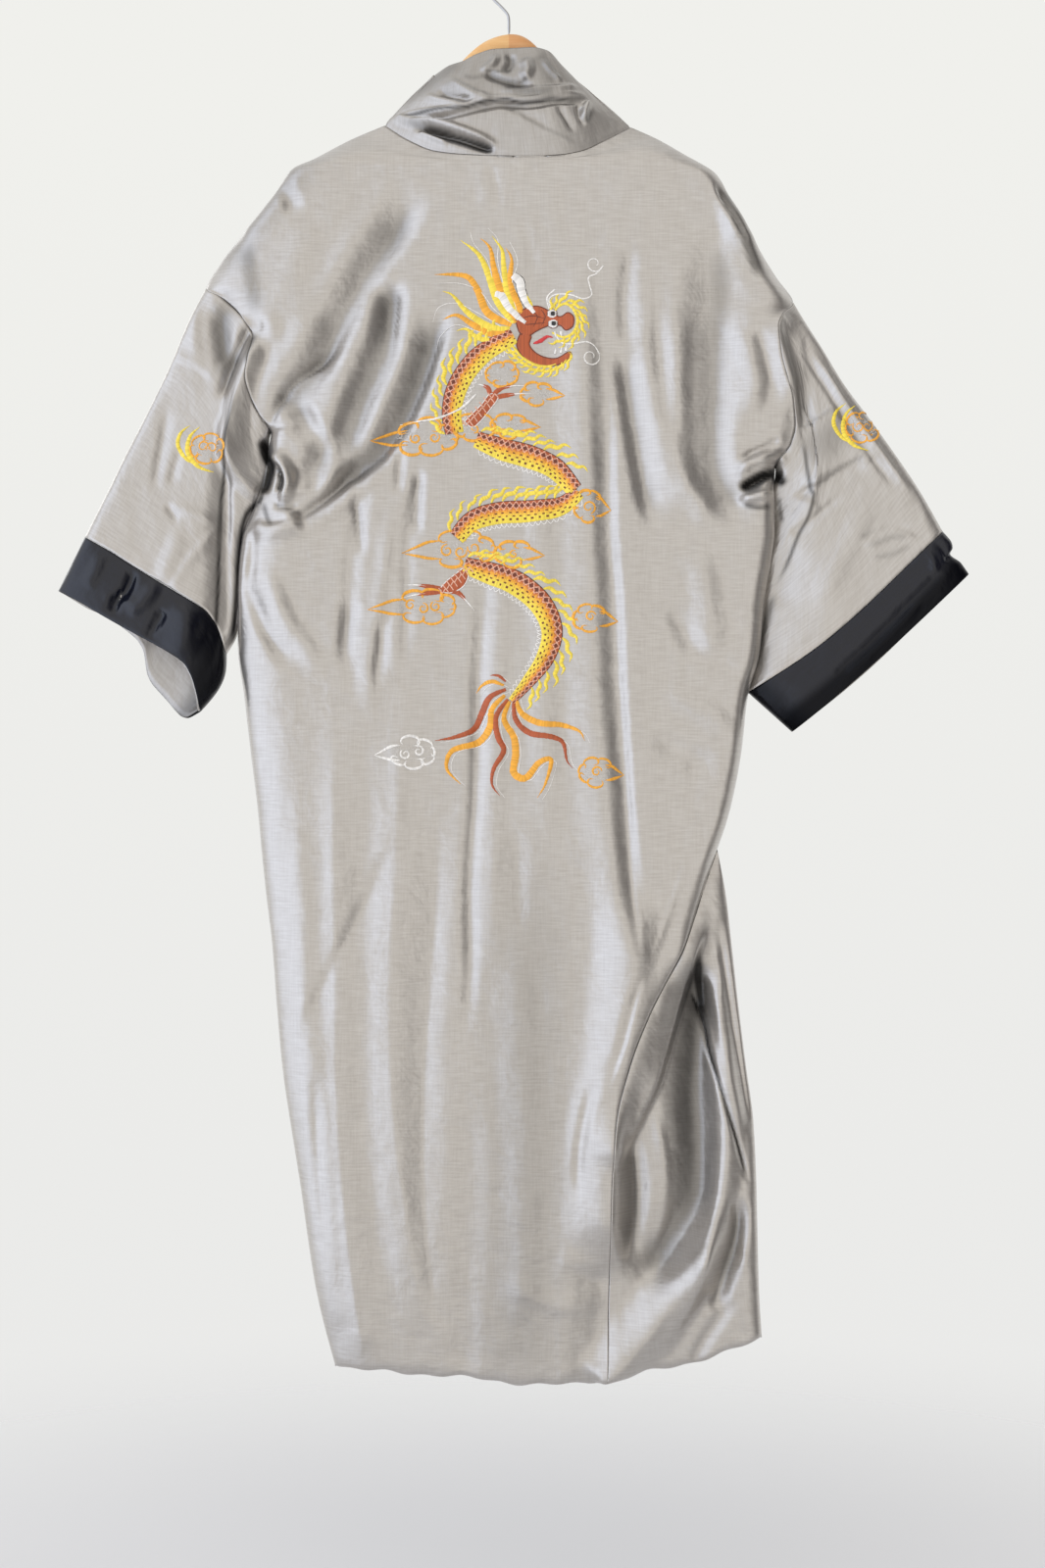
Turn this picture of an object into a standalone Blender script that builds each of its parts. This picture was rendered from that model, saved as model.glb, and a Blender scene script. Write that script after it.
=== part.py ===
"""A satin kimono robe on a wooden hanger, seen from its back.

Metres, +Z up. The origin is the inside top of the hanger's hook. The robe's back faces -Y and its
fronts face +Y. Tables are in millimetres: "drop" is the distance below the origin, and "proud" is
the distance out from the hanger's plane towards the side that a piece faces.
"""

import math

import bmesh
import bpy
from mathutils import Vector

MM = 0.001

# Cloth walls and the joints between pieces
CLOTH_WALL = 1.3
CUFF_WALL = 1.5
COLLAR_WALL = 2.2
SEAM_GAP = 0.3
LAYER_GAP = 0.6
# How many seam gaps lie between pieces that meet at a corner
CORNER_GAPS = 3.0
# Points closer than this are one point
SAME_POINT = 0.02
# Where a cuff's facing starts and ends, as shares of the cuff's width
FACING_SPAN = (0.04, 0.98)

# The way out of the wall at a seam that turns over an edge, for the right half: across, out and up
NECK_OUTWARD = (0.5, 0.0, 0.86)
ARMHOLE_TOP_OUTWARD = (0.8, 0.0, 0.6)
ARMHOLE_BOTTOM_OUTWARD = (0.2, 0.0, -1.0)
CUFF_OUTWARD = (0.75, 0.0, 0.66)
RIDGE_OUTWARD = (0.94, 0.0, -0.34)
# How sharply a seam ring's wall turns towards its two edges
SEAM_LEAN = 12

# How far the body and the sleeves stand out from the hanger's plane
BACK_PROUD = 27.0
FRONT_PROUD = 25.0
ARMHOLE_PROUD = 19.0
NECK_PROUD = 33.0
# How fast the neck seam drops back towards its two corners, as a power
NECK_FALL = 2.4
EDGE_ROUND = 46.0
RIDGE_ROUND = 15.0
# Where the right front wraps round: its own stand at the top and the hem, and how wide its turns are
WRAP_PROUD = 8.0
WRAP_HEM_PROUD = 12.0
RIDGE_FALL = 15.0
RIM_ROUND = 26.0

# How far the hem hangs below the straight line between a panel's corners
HEM_SAG = 6.0
# How many body rows each change takes: the neck's curve, the upper back's stand, the wrapped edge's
# turn and the front edge's turn
NECK_ROWS_DEEP = 4.0
UPPER_BACK_ROWS = 6.0
TURN_ROWS = 2.0
FRONT_TURN_ROWS = 1.4
# The share of a front's width over which its stand, and its folds, change towards the front edge
FRONT_STAND_SHARE = 0.25
FRONT_FOLD_SHARE = 1.0 / 6.0
# The share of a fold's length over which each end dies out
FOLD_END = 0.22
# How far the band down a front edge bulges
BAND_BULGE = 4.0

# Hanger
HOOK_RADIUS = 19.0
HOOK_WIRE = 3.4
HANGER_DEPTH = 12.0
HANGER_HEIGHT = 26.0
# How many body rows the wood reaches down a shoulder, and its gap below the cloth
HANGER_ROWS = 3.0
HANGER_CLEARANCE = 0.2
# The share of the full section at each end's last places
HANGER_TAPER = (0.55, 0.85, 1.0)
CROWN_DROP = 69.0
# The wire's middle line up from the crown, as (x, z), and then the arc of the hook in degrees
STEM = ((0.0, -60.0), (0.0, -50.0), (-2.5, -45.5))
HOOK_START = 236.0
HOOK_END = -35.0

# How finely each piece is divided
BACK_ACROSS = 24
FRONT_ACROSS = 11
WRAP_ACROSS = 9
SLEEVE_ALONG = 11
CUFF_ALONG = 3
COLLAR_ACROSS = 4
COLLAR_NECK_CELLS = 14
FOLD_STEPS = 6
HANGER_STEPS = 14
HANGER_AROUND = 12
HOOK_STEPS = 26
# Where extra columns follow an outline's turn, as a share of a panel's width
EDGE_COLUMNS = (0.004, 0.015, 0.034)

# Rows down the body. left and right are the ends of a row, sag is how far its middle hangs below
# the line between them, and ridge is how far the right end stands proud where it is not an outline.
BODY_COLUMNS = ("left_x", "left_drop", "right_x", "right_drop", "sag", "ridge")
BODY_ROWS = (
    (-131, 165, 129, 167, 0, 0),
    (-169, 181, 158, 180, 18, 0),
    (-205, 201, 186, 197, 13, 0),
    (-228, 212, 219, 218, 9, 0),
    (-247, 238, 234, 243, 5, 0),
    (-267, 263, 249, 269, 2, 0),
    (-287, 288, 266, 299, 0, 0),
    (-304, 311, 282, 325, 0, 0),
    (-319, 337, 300, 352, 0, 0),
    (-302, 349, 285, 368, 0, 0),
    (-281, 369, 277, 384, 0, 0),
    (-269, 391, 279, 407, 0, 0),
    (-268, 415, 286, 436, 0, 0),
    (-271, 436, 296, 458, 0, 0),
    (-269, 456, 300, 482, 0, 0),
    (-261, 474, 296, 502, 0, 0),
    (-251, 490, 281, 526, 0, 0),
    (-256, 516, 280, 549, 0, 0),
    (-261, 543, 281, 570, 0, 0),
    (-271, 574, 281, 595, 0, 0),
    (-282, 603, 277, 625, 0, 0),
    (-286, 654, 270, 667, 0, 0),
    (-286, 712, 265, 722, 0, 0),
    (-279, 769, 252, 769, 0, 0),
    (-272, 829, 245, 829, 0, 0),
    (-265, 886, 233, 889, 0, 0),
    (-261, 929, 220, 929, 0, 0),
    (-256, 977, 203, 977, 0, 10),
    (-250, 1027, 185, 1029, 0, 17),
    (-245, 1092, 148, 1100, 0, 20),
    (-239, 1159, 126, 1156, 0, 20),
    (-230, 1221, 112, 1216, 0, 19),
    (-221, 1277, 108, 1275, 0, 18),
    (-203, 1396, 105, 1394, 0, 17),
    (-183, 1472, 103, 1487, 0, 16),
)
ARMHOLE_TOP = 8
ARMHOLE_BOTTOM = 16
WRAP_TOP = 26

# The right outline below the row where the front wraps round to the back
RIM_COLUMNS = ("x", "drop")
RIM_ROWS = (
    (220, 929),
    (229, 977),
    (235, 1029),
    (243, 1100),
    (250, 1156),
    (258, 1216),
    (261, 1275),
    (264, 1394),
    (267, 1444),
)

# The back neck seam and the collar's top edge, from the left corner to the right one
NECK_COLUMNS = ("seam_x", "seam_drop", "top_x", "top_drop", "top_proud", "bulge")
NECK_ROWS = (
    (-131, 165, -80, 112, -3, 10),
    (-106, 181, -62, 104, 10, 10),
    (-78, 193, -50, 101, 13, 11),
    (-48, 197, -33, 93, 14, 12),
    (-15, 199, -16, 88, 14, 12),
    (20, 199, 5, 87, 14, 12),
    (50, 198, 24, 86, 14, 12),
    (76, 192, 40, 89, 13, 11),
    (102, 180, 54, 102, 10, 9),
    (129, 167, 63, 113, -3, 7),
)

# Each front edge, and the free edge of the band that is sewn to it: out is the distance from the
# robe's centre line, and the rows match the body's
FRONT_COLUMNS = ("row", "seam_out", "seam_drop", "free_out", "free_drop", "free_proud")
FRONT_ROWS = (
    (0, 130, 166, 72, 113, -3),
    (1, 124, 186, 66, 130, 11),
    (3, 115, 216, 58, 166, 20),
    (5, 105, 262, 48, 220, 24),
    (8, 86, 335, 30, 300, 25),
    (12, 66, 412, 10, 392, 26),
    (16, 55, 500, 2, 496, 26),
    (26, 54, 929, 2, 929, 27),
    (34, 54, 1476, 2, 1476, 27),
)

# A sleeve's and a cuff's length along the arm, and how far down a sleeve the armhole's curve dies out
SLEEVE_LENGTH = 250.0
CUFF_LENGTH = 50.0
ARMHOLE_FADE = 0.8
# How far a section's bow lies towards its inner edge, as a power
BOW_SKEW = 1.3
# Sleeves: the outer and inner edges of each section, how far the section bows towards the hand,
# its half depth, and how far its middle is set back from the hanger's plane
SLEEVE_COLUMNS = ("outer_x", "outer_drop", "inner_x", "inner_drop", "bow", "half_depth", "set_back")
SLEEVES = {
    "left": (
        (-319, 337, -251, 490, 0, 19, 0),
        (-335, 368, -262, 520, 0, 18, 0),
        (-353, 410, -268, 548, 0, 17, 1),
        (-370, 446, -280, 576, 2, 16, 2),
        (-388, 481, -290, 609, -4, 16, 3),
        (-408, 520, -292, 648, -9, 17, 3),
        (-428, 561, -297, 687, -14, 19, 3),
        (-447, 599, -305, 723, -19, 22, 3),
    ),
    "right": (
        (300, 352, 281, 526, 0, 19, 0),
        (314, 376, 286, 556, 14, 18, 0),
        (332, 404, 288, 582, 13, 19, 1),
        (353, 438, 286, 611, 8, 20, 2),
        (378, 471, 283, 644, 5, 17, 3),
        (405, 508, 276, 680, 7, 16, 3),
        (434, 551, 270, 718, 9, 17, 3),
        (458, 593, 255, 763, 9, 18, 3),
    ),
}
MOUTH_COLUMNS = SLEEVE_COLUMNS + ("far_bow",)
MOUTHS = {
    "left": (-476, 656, -325, 783, -22, 25, 3, 12),
    "right": (486, 638, 299, 805, 3, 19, 3, 6),
}

# The largest folds of the back and of the sleeves' near sides. height is how far a ridge stands
# proud, or a negative trough goes in, and left_width and right_width are how wide it is on each side
# of its path, which runs down from the top and holds (x, drop) pairs.
FOLD_COLUMNS = ("height", "left_width", "right_width", "path")
FOLDS = (
    # from the left shoulder down to the left underarm
    (-12, 30, 28, ((-97, 232), (-135, 335), (-168, 402), (-212, 440), (-250, 478))),
    (11, 26, 26, ((-112, 330), (-156, 402), (-190, 468), (-228, 522))),
    (-12, 30, 28, ((-80, 350), (-114, 408), (-142, 468), (-178, 540), (-230, 574))),
    # round the left underarm
    (13, 24, 28, ((-262, 592), (-225, 594), (-180, 574), (-136, 536), (-108, 490))),
    # the sleeve's fold in front of the left armhole
    (12, 34, 18, ((-256, 400), (-272, 432), (-284, 470), (-290, 505), (-285, 545))),
    # from the right shoulder down to the right underarm
    (-12, 28, 28, ((212, 330), (209, 400), (207, 470), (222, 535), (262, 566))),
    (11, 26, 26, ((182, 300), (186, 400), (184, 500), (206, 560), (262, 592))),
    (11, 14, 44, ((222, 240), (258, 325), (281, 400), (296, 450), (300, 500))),
    # the long folds down the middle and the right
    (11, 28, 34, ((70, 300), (74, 500), (80, 700), (92, 860), (110, 990), (132, 1060))),
    (-14, 20, 28, ((98, 240), (102, 448), (107, 640), (114, 830), (130, 985), (144, 1080))),
    (10, 40, 20, ((126, 300), (132, 560), (140, 760), (150, 930), (160, 1030))),
    (-9, 28, 28, ((-25, 540), (-30, 716), (-35, 860), (-42, 990), (-50, 1130))),
    # the long folds down the left
    (-10, 26, 32, ((-157, 470), (-160, 640), (-166, 740), (-150, 860))),
    (-11, 32, 22, ((-108, 747), (-112, 900), (-120, 1060), (-113, 1268), (-88, 1400), (-76, 1440))),
    (9, 24, 30, ((-142, 800), (-152, 1000), (-150, 1200), (-130, 1400))),
    (-9, 26, 26, ((-182, 757), (-186, 950), (-186, 1120), (-174, 1268), (-158, 1450))),
    (8, 24, 24, ((-214, 860), (-216, 1050), (-206, 1220), (-186, 1420))),
    (8, 28, 28, ((10, 900), (14, 1060), (20, 1240), (18, 1430))),
    (-7, 26, 26, ((58, 1110), (62, 1220), (56, 1330), (40, 1440))),
    # the swags of the front that shows at the lower right
    (-8, 20, 20, ((170, 1068), (190, 1110), (204, 1150), (196, 1220))),
    (11, 24, 24, ((212, 1120), (216, 1220), (206, 1300), (172, 1376), (120, 1440))),
    (-10, 22, 20, ((186, 1160), (194, 1262), (182, 1330), (148, 1396))),
    (8, 20, 20, ((156, 1150), (158, 1262), (146, 1330), (114, 1390))),
    (-8, 18, 18, ((122, 1230), (134, 1300), (126, 1370))),
    (-9, 20, 22, ((236, 1190), (240, 1310), (226, 1400), (190, 1456))),
)
# The largest folds of the fronts, which hang down from the shoulders
FRONT_FOLDS = (
    (-9, 26, 26, ((-190, 300), (-170, 560), (-176, 820), (-168, 1140), (-150, 1440))),
    (9, 26, 26, ((-120, 420), (-112, 700), (-118, 1000), (-104, 1460))),
    (8, 26, 26, ((-232, 640), (-226, 900), (-206, 1200), (-178, 1440))),
    (-9, 26, 26, ((176, 320), (164, 600), (172, 900), (160, 1200), (170, 1440))),
    (9, 26, 26, ((112, 440), (118, 760), (108, 1060), (116, 1460))),
    (8, 26, 26, ((226, 660), (216, 900), (214, 1180), (222, 1430))),
    (9, 22, 22, ((-262, 560), (-200, 520), (-150, 440))),
    (9, 22, 22, ((258, 580), (204, 530), (150, 450))),
)

# The hanger's crown as (x, drop), between the two shoulders that the robe rests on, and how far the
# wood dips under the corners of the neck
CROWN_LEFT = ((-100, 158), (-80, 137), (-66, 120), (-52, 102), (-38, 87), (-22, 75), (0, 69))
CROWN_RIGHT = ((14, 71), (25, 79), (35, 90), (47, 107), (64, 131), (84, 150), (104, 163))
NECK_CLEARANCE = 9.0


def named(columns, rows):
    """One dictionary for each row of a table."""
    return [dict(zip(columns, row)) for row in rows]


def lerp(a, b, t):
    return a + (b - a) * t


def smooth(t):
    t = min(1.0, max(0.0, t))
    return t * t * (3.0 - 2.0 * t)


def interpolate(knots, values, t):
    """A smooth curve through values that never swings past them."""
    if t <= knots[0]:
        return values[0]
    if t >= knots[-1]:
        return values[-1]
    i = max(k for k in range(len(knots) - 1) if knots[k] <= t)
    slopes = [(values[k + 1] - values[k]) / (knots[k + 1] - knots[k]) for k in range(len(knots) - 1)]

    def tangent(k):
        if k == 0 or k == len(slopes):
            return slopes[min(k, len(slopes) - 1)]
        before, after = slopes[k - 1], slopes[k]
        return 0.0 if before * after <= 0 else 2.0 * before * after / (before + after)

    width = knots[i + 1] - knots[i]
    s = (t - knots[i]) / width
    a, b = tangent(i) * width, tangent(i + 1) * width
    start, end = values[i], values[i + 1]
    return (
        start * (2 * s**3 - 3 * s**2 + 1)
        + a * (s**3 - 2 * s**2 + s)
        + end * (3 * s**2 - 2 * s**3)
        + b * (s**3 - s**2)
    )


def table_value(rows, column, t, key=None):
    """A column of a table at a place between its rows, which are numbered or given by a key column."""
    knots = [row[key] for row in rows] if key else list(range(len(rows)))
    return interpolate(knots, [row[column] for row in rows], t)


def bulge(q):
    """A flattened round profile: 0 at both ends of a section and nearly 1 between them."""
    return math.sqrt(max(0.0, 1.0 - abs(2.0 * q - 1.0) ** 4))


def edge_rise(distance, radius, softness):
    """How far a panel has risen from its edge: round at an outline, soft at a seam."""
    s = min(1.0, max(0.0, distance / radius))
    return lerp(math.sqrt(1.0 - (1.0 - s) ** 2), smooth(s), softness)


body_rows = named(BODY_COLUMNS, BODY_ROWS)
rim_rows = named(RIM_COLUMNS, RIM_ROWS)
neck_rows = named(NECK_COLUMNS, NECK_ROWS)
front_rows = named(FRONT_COLUMNS, FRONT_ROWS)
sleeve_rows = {side: named(SLEEVE_COLUMNS, rows) for side, rows in SLEEVES.items()}
mouths = {side: dict(zip(MOUTH_COLUMNS, row)) for side, row in MOUTHS.items()}
LAST_ROW = len(BODY_ROWS) - 1


def smooth_path(points):
    """More points along a Catmull-Rom curve through a fold's own points."""
    ends = [points[0]] + list(points) + [points[-1]]
    path = []
    for k in range(len(points) - 1):
        p0, p1, p2, p3 = ends[k : k + 4]
        for step in range(FOLD_STEPS):
            t = step / FOLD_STEPS
            path.append(
                tuple(
                    0.5
                    * (
                        2 * p1[c]
                        + (p2[c] - p0[c]) * t
                        + (2 * p0[c] - 5 * p1[c] + 4 * p2[c] - p3[c]) * t**2
                        + (3 * p1[c] - p0[c] - 3 * p2[c] + p3[c]) * t**3
                    )
                    for c in (0, 1)
                )
            )
    path.append(tuple(points[-1]))
    return path


def prepared(folds):
    found = named(FOLD_COLUMNS, folds)
    for fold in found:
        fold["path"] = smooth_path(fold["path"])
    return found


def relief(folds, x, drop):
    """How far all the folds together lift the cloth at a place, in millimetres."""
    total = 0.0
    for fold in folds:
        path = fold["path"]
        nearest = None
        for k in range(len(path) - 1):
            (ax, ay), (bx, by) = path[k], path[k + 1]
            dx, dy = bx - ax, by - ay
            length = dx * dx + dy * dy
            t = min(1.0, max(0.0, ((x - ax) * dx + (drop - ay) * dy) / length))
            ox, oy = x - ax - dx * t, drop - ay - dy * t
            distance = math.hypot(ox, oy)
            if nearest is None or distance < nearest[0]:
                nearest = (distance, dx * oy - dy * ox, (k + t) / (len(path) - 1))
        distance, side, along = nearest
        width = fold["right_width"] if side < 0 else fold["left_width"]
        if distance < width:
            ends = smooth(along / FOLD_END) * smooth((1.0 - along) / FOLD_END)
            total += fold["height"] * (1.0 - smooth(distance / width)) * ends
    return total


near_folds = prepared(FOLDS)
far_folds = prepared(FRONT_FOLDS)


def armhole_share(v):
    """The share of the way down the armhole at a body row, or None outside it."""
    if ARMHOLE_TOP <= v <= ARMHOLE_BOTTOM:
        return (v - ARMHOLE_TOP) / (ARMHOLE_BOTTOM - ARMHOLE_TOP)
    return None


def armhole_proud(v):
    q = armhole_share(v)
    return 0.0 if q is None else ARMHOLE_PROUD * bulge(q)


def row_end(v, side):
    return Vector(
        (table_value(body_rows, side + "_x", v), table_value(body_rows, side + "_drop", v))
    )


def slope_share(v, side):
    """The sine of the outline's slope, which turns a distance along a row into one square to it."""
    step = row_end(min(v + 0.05, LAST_ROW), side) - row_end(max(v - 0.05, 0.0), side)
    return max(0.25, abs(step.y) / max(step.length, 1e-6))


def at(x, drop, proud):
    """A point of the robe: proud is towards the back for a near layer, so it counts along -Y."""
    return Vector((x * MM, -proud * MM, -drop * MM))


def sign_of(side):
    return -1.0 if side == "left" else 1.0


def turned(start, end, share):
    """The way out of a wall that turns from one direction to another."""
    return (Vector(start) * (1.0 - share) + Vector(end) * share).normalized()


def outward(way, side):
    """A way out that is given for the right half, on either side."""
    across, out, up = way
    return Vector((across * sign_of(side), out, up))


def seam_normal(v, side, facing):
    """The way out of the wall at an armhole seam, the same for the body and the sleeve."""
    q = armhole_share(v)
    edge = ARMHOLE_TOP_OUTWARD if q < 0.5 else ARMHOLE_BOTTOM_OUTWARD
    return turned((0.0, facing, 0.0), outward(edge, side), abs(2.0 * q - 1.0) ** SEAM_LEAN)


def neck_seam(u):
    t = u * (len(neck_rows) - 1)
    return table_value(neck_rows, "seam_x", t), table_value(neck_rows, "seam_drop", t)


def neck_proud(u):
    return NECK_PROUD * (1.0 - abs(2.0 * u - 1.0) ** NECK_FALL)


def neck_normal(u):
    """The way out of the wall along the back neck seam."""
    side = "left" if u < 0.5 else "right"
    return turned((0.0, -1.0, 0.0), outward(NECK_OUTWARD, side), (2.0 * u - 1.0) ** 2)


def wrap_share(v):
    """How far the right front has turned round the rim at a body row, from 0 to 1."""
    return smooth((v - WRAP_TOP) / TURN_ROWS)


def hem_share(v):
    return smooth((v - LAST_ROW + TURN_ROWS) / TURN_ROWS)


def ridge_normal(v):
    """The way out of the wall where the back's right edge meets the front that wraps round."""
    return turned(RIDGE_OUTWARD, (0.0, -1.0, 0.0), wrap_share(v))


def back_point(u, v):
    """A point of the back panel, u across from the left and v in body rows, with its wall's way out."""
    left, right = row_end(v, "left"), row_end(v, "right")
    place = left.lerp(right, u)
    if v < NECK_ROWS_DEEP:
        # The rows near the neck take up the neck seam's own curve and spacing
        seam_x, seam_drop = neck_seam(u)
        fade = (1.0 - v / NECK_ROWS_DEEP) ** 2
        chord = row_end(0, "left").lerp(row_end(0, "right"), u)
        place += (Vector((seam_x, seam_drop)) - chord) * fade
    place.y += table_value(body_rows, "sag", v) * 4.0 * u * (1.0 - u)
    place.y += HEM_SAG * math.sin(math.pi * u * u) * hem_share(v)
    middle = lerp(NECK_PROUD, BACK_PROUD, smooth(v / UPPER_BACK_ROWS))
    edge = armhole_proud(v)
    softness = edge / ARMHOLE_PROUD
    ridge = table_value(body_rows, "ridge", v)
    wrapped = wrap_share(v)
    from_left = (place.x - left.x) * slope_share(v, "left")
    from_right = (right.x - place.x) * slope_share(v, "right")
    left_rise = edge_rise(from_left, EDGE_ROUND, softness)
    right_rise = edge_rise(from_right, lerp(EDGE_ROUND, RIDGE_ROUND, wrapped), softness)
    right_edge = ridge if v >= WRAP_TOP else edge
    proud = middle + (edge - middle) * (1.0 - left_rise) + (right_edge - middle) * (1.0 - right_rise)
    lift = relief(near_folds, place.x, place.y)
    if v < 1.0:
        proud = lerp(neck_proud(u), proud, smooth(v))
        lift *= smooth(v)
    shelter = min(1.0, left_rise + softness) * min(1.0, right_rise + max(softness, wrapped))
    proud += lift * shelter
    normal = None
    if v == 0:
        normal = neck_normal(u)
    elif u in (0.0, 1.0) and armhole_share(v) is not None:
        normal = seam_normal(v, "left" if u == 0.0 else "right", -1.0)
    elif u == 1.0 and v >= WRAP_TOP:
        normal = ridge_normal(v)
    elif u in (0.0, 1.0):
        normal = "outline"
    return at(place.x, place.y, max(proud, 0.5 * SEAM_GAP)), normal


def front_edge(v, side):
    return Vector(
        (
            sign_of(side) * table_value(front_rows, "seam_out", v, "row"),
            table_value(front_rows, "seam_drop", v, "row"),
        )
    )


def front_edge_proud(v):
    return FRONT_PROUD * smooth(v / FRONT_TURN_ROWS)


def rim_place(v):
    """The right outline at a body row below the one where the front wraps round."""
    row = v - WRAP_TOP
    return Vector((table_value(rim_rows, "x", row), table_value(rim_rows, "drop", row)))


def front_point(side, u, v):
    """A point of a front, u from its side to its front edge."""
    start, end = row_end(v, side), front_edge(v, side)
    if side == "right" and v > WRAP_TOP:
        start = rim_place(v)
    place = start.lerp(end, u) if v > 0 else start
    edge = armhole_proud(v)
    softness = edge / ARMHOLE_PROUD
    rise = edge_rise(abs(place.x - start.x) * slope_share(v, side), EDGE_ROUND, softness)
    middle = lerp(front_edge_proud(v), FRONT_PROUD, smooth((1.0 - u) / FRONT_STAND_SHARE))
    proud = middle + (edge - middle) * (1.0 - rise)
    lift = relief(far_folds, place.x, place.y)
    proud += lift * min(1.0, rise + softness) * smooth((1.0 - u) / FRONT_FOLD_SHARE)
    normal = None
    if u == 1.0 or v == 0:
        normal = front_normal(v, side)
    elif u == 0.0 and armhole_share(v) is not None:
        normal = seam_normal(v, side, 1.0)
    elif u == 0.0:
        normal = ridge_normal(v) if side == "right" and v == WRAP_TOP else "outline"
    corner = SEAM_GAP if v == 0 else 0.0
    return at(place.x, place.y, -max(proud, 0.5 * SEAM_GAP + corner)), normal


def front_normal(v, side):
    """The way out of the wall along a front's edge, which turns from the shoulder to the front."""
    return turned(outward(NECK_OUTWARD, side), (0.0, 1.0, 0.0), smooth(v / FRONT_TURN_ROWS))


def wrap_point(u, v):
    """A point of the right front where it wraps round the rim to the back's edge, u from that edge."""
    wrapped = wrap_share(v)
    start = row_end(v, "right")
    rim = rim_place(v)
    place = start.lerp(rim, u)
    place.y += HEM_SAG * 4.0 * u * (1.0 - u) * hem_share(v)
    ridge = table_value(body_rows, "ridge", v)
    across = (rim - start).length
    floor = lerp(WRAP_PROUD, WRAP_HEM_PROUD, smooth((v - WRAP_TOP) / (LAST_ROW - WRAP_TOP)))
    proud = lerp(ridge, floor, smooth(u * across / RIDGE_FALL))
    rim_rise = edge_rise((1.0 - u) * across, RIM_ROUND, 0.0)
    proud *= rim_rise
    lift = relief(near_folds, place.x, place.y)
    proud += lift * rim_rise * lerp(wrapped, 1.0, smooth(u * across / RIDGE_FALL))
    if u == 0.0:
        gap = SEAM_GAP * lerp(CORNER_GAPS, 1.0, wrapped)
        place += (rim - start).normalized() * gap / slope_share(v, "right")
    return at(place.x, place.y, max(proud, 0.0)), ridge_normal(v) if u == 0.0 else None


def cloth(name, rows, wall, material):
    """A closed wall from rows of (point, way out): the outer face, the inner one and the edges between.

    Points that fall together become one, so a row may shrink to a point and a tube's last column
    may meet its first.
    """
    mesh = bmesh.new()
    known = {}
    given = {}
    grid = []
    for row in rows:
        line = []
        for point, normal in row:
            key = tuple(round(c / (MM * SAME_POINT)) for c in point)
            if key not in known:
                known[key] = mesh.verts.new(point)
            if normal is not None:
                given[known[key]] = normal
            line.append(known[key])
        grid.append(line)
    for above, below in zip(grid, grid[1:]):
        for k in range(len(above) - 1):
            corners = []
            for vert in (above[k], below[k], below[k + 1], above[k + 1]):
                if vert not in corners:
                    corners.append(vert)
            if len(corners) > 2:
                mesh.faces.new(corners)
    mesh.normal_update()
    outer = list(mesh.faces)
    border = [edge for edge in mesh.edges if edge.is_boundary]
    inner = {}
    for vert in list(mesh.verts):
        normal = given.get(vert)
        if normal is None or isinstance(normal, str):
            found = vert.normal.copy()
            if normal == "outline":
                found.y = 0.0
            normal = found
        inner[vert] = mesh.verts.new(vert.co - normal.normalized() * wall * MM)
    for face in outer:
        mesh.faces.new([inner[vert] for vert in reversed(face.verts)])
    for edge in border:
        loop = edge.link_loops[0]
        start, end = loop.vert, loop.link_loop_next.vert
        mesh.faces.new((end, start, inner[start], inner[end]))
    data = bpy.data.meshes.new(name)
    bmesh.ops.triangulate(mesh, faces=mesh.faces[:], quad_method="SHORT_EDGE")
    mesh.to_mesh(data)
    mesh.free()
    data.shade_smooth()
    body = bpy.data.objects.new(name, data)
    bpy.context.scene.collection.objects.link(body)
    body.data.materials.append(material)
    return body


def finish(name, colour, roughness, metallic=0.0):
    material = bpy.data.materials.new(name)
    material.use_nodes = True
    shader = material.node_tree.nodes["Principled BSDF"]
    shader.inputs["Base Color"].default_value = (*colour, 1.0)
    shader.inputs["Roughness"].default_value = roughness
    shader.inputs["Metallic"].default_value = metallic
    return material


def columns(count, both_ends=True):
    """Places across a panel from 0 to 1, with more of them where it turns round its outline."""
    first = EDGE_COLUMNS[-1]
    last = 1.0 - first if both_ends else 1.0
    places = [0.0] + list(EDGE_COLUMNS[:-1])
    places += [lerp(first, last, k / count) for k in range(count + 1)]
    if both_ends:
        places += [1.0 - place for place in reversed(EDGE_COLUMNS[:-1])] + [1.0]
    return places


def body_steps():
    """The body's rows, with two more where the armhole turns at its ends."""
    extra = (ARMHOLE_TOP + 0.5, ARMHOLE_BOTTOM - 0.5)
    return sorted(list(range(LAST_ROW + 1)) + list(extra))


def ring_steps():
    """Places round half a sleeve, which meet the body's rows at the armhole."""
    count = ARMHOLE_BOTTOM - ARMHOLE_TOP
    return [0.0, 0.5 / count] + [k / count for k in range(1, count)] + [1.0 - 0.5 / count, 1.0]


def make_back(material):
    rows = [[back_point(u, v) for u in columns(BACK_ACROSS)] for v in body_steps()]
    return cloth("back", rows, CLOTH_WALL, material)


def make_front(side, material):
    rows = []
    for v in body_steps():
        row = [front_point(side, u, v) for u in columns(FRONT_ACROSS, False)]
        if side == "right":
            row = wrapped_row(v, row)
        else:
            row.reverse()
        rows.append(row)
    return cloth("front_" + side, rows, CLOTH_WALL, material)


def wrapped_row(v, row):
    """The right front's row: round the rim from the back's edge where it wraps, and then to the front."""
    places = [0.0] + columns(WRAP_ACROSS)[len(EDGE_COLUMNS) : -1]
    turn = [wrap_point(u, v) if v > WRAP_TOP else row[0] for u in places]
    if v > WRAP_TOP:
        row[0] = (row[0][0], None)
    return turn + row


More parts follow.
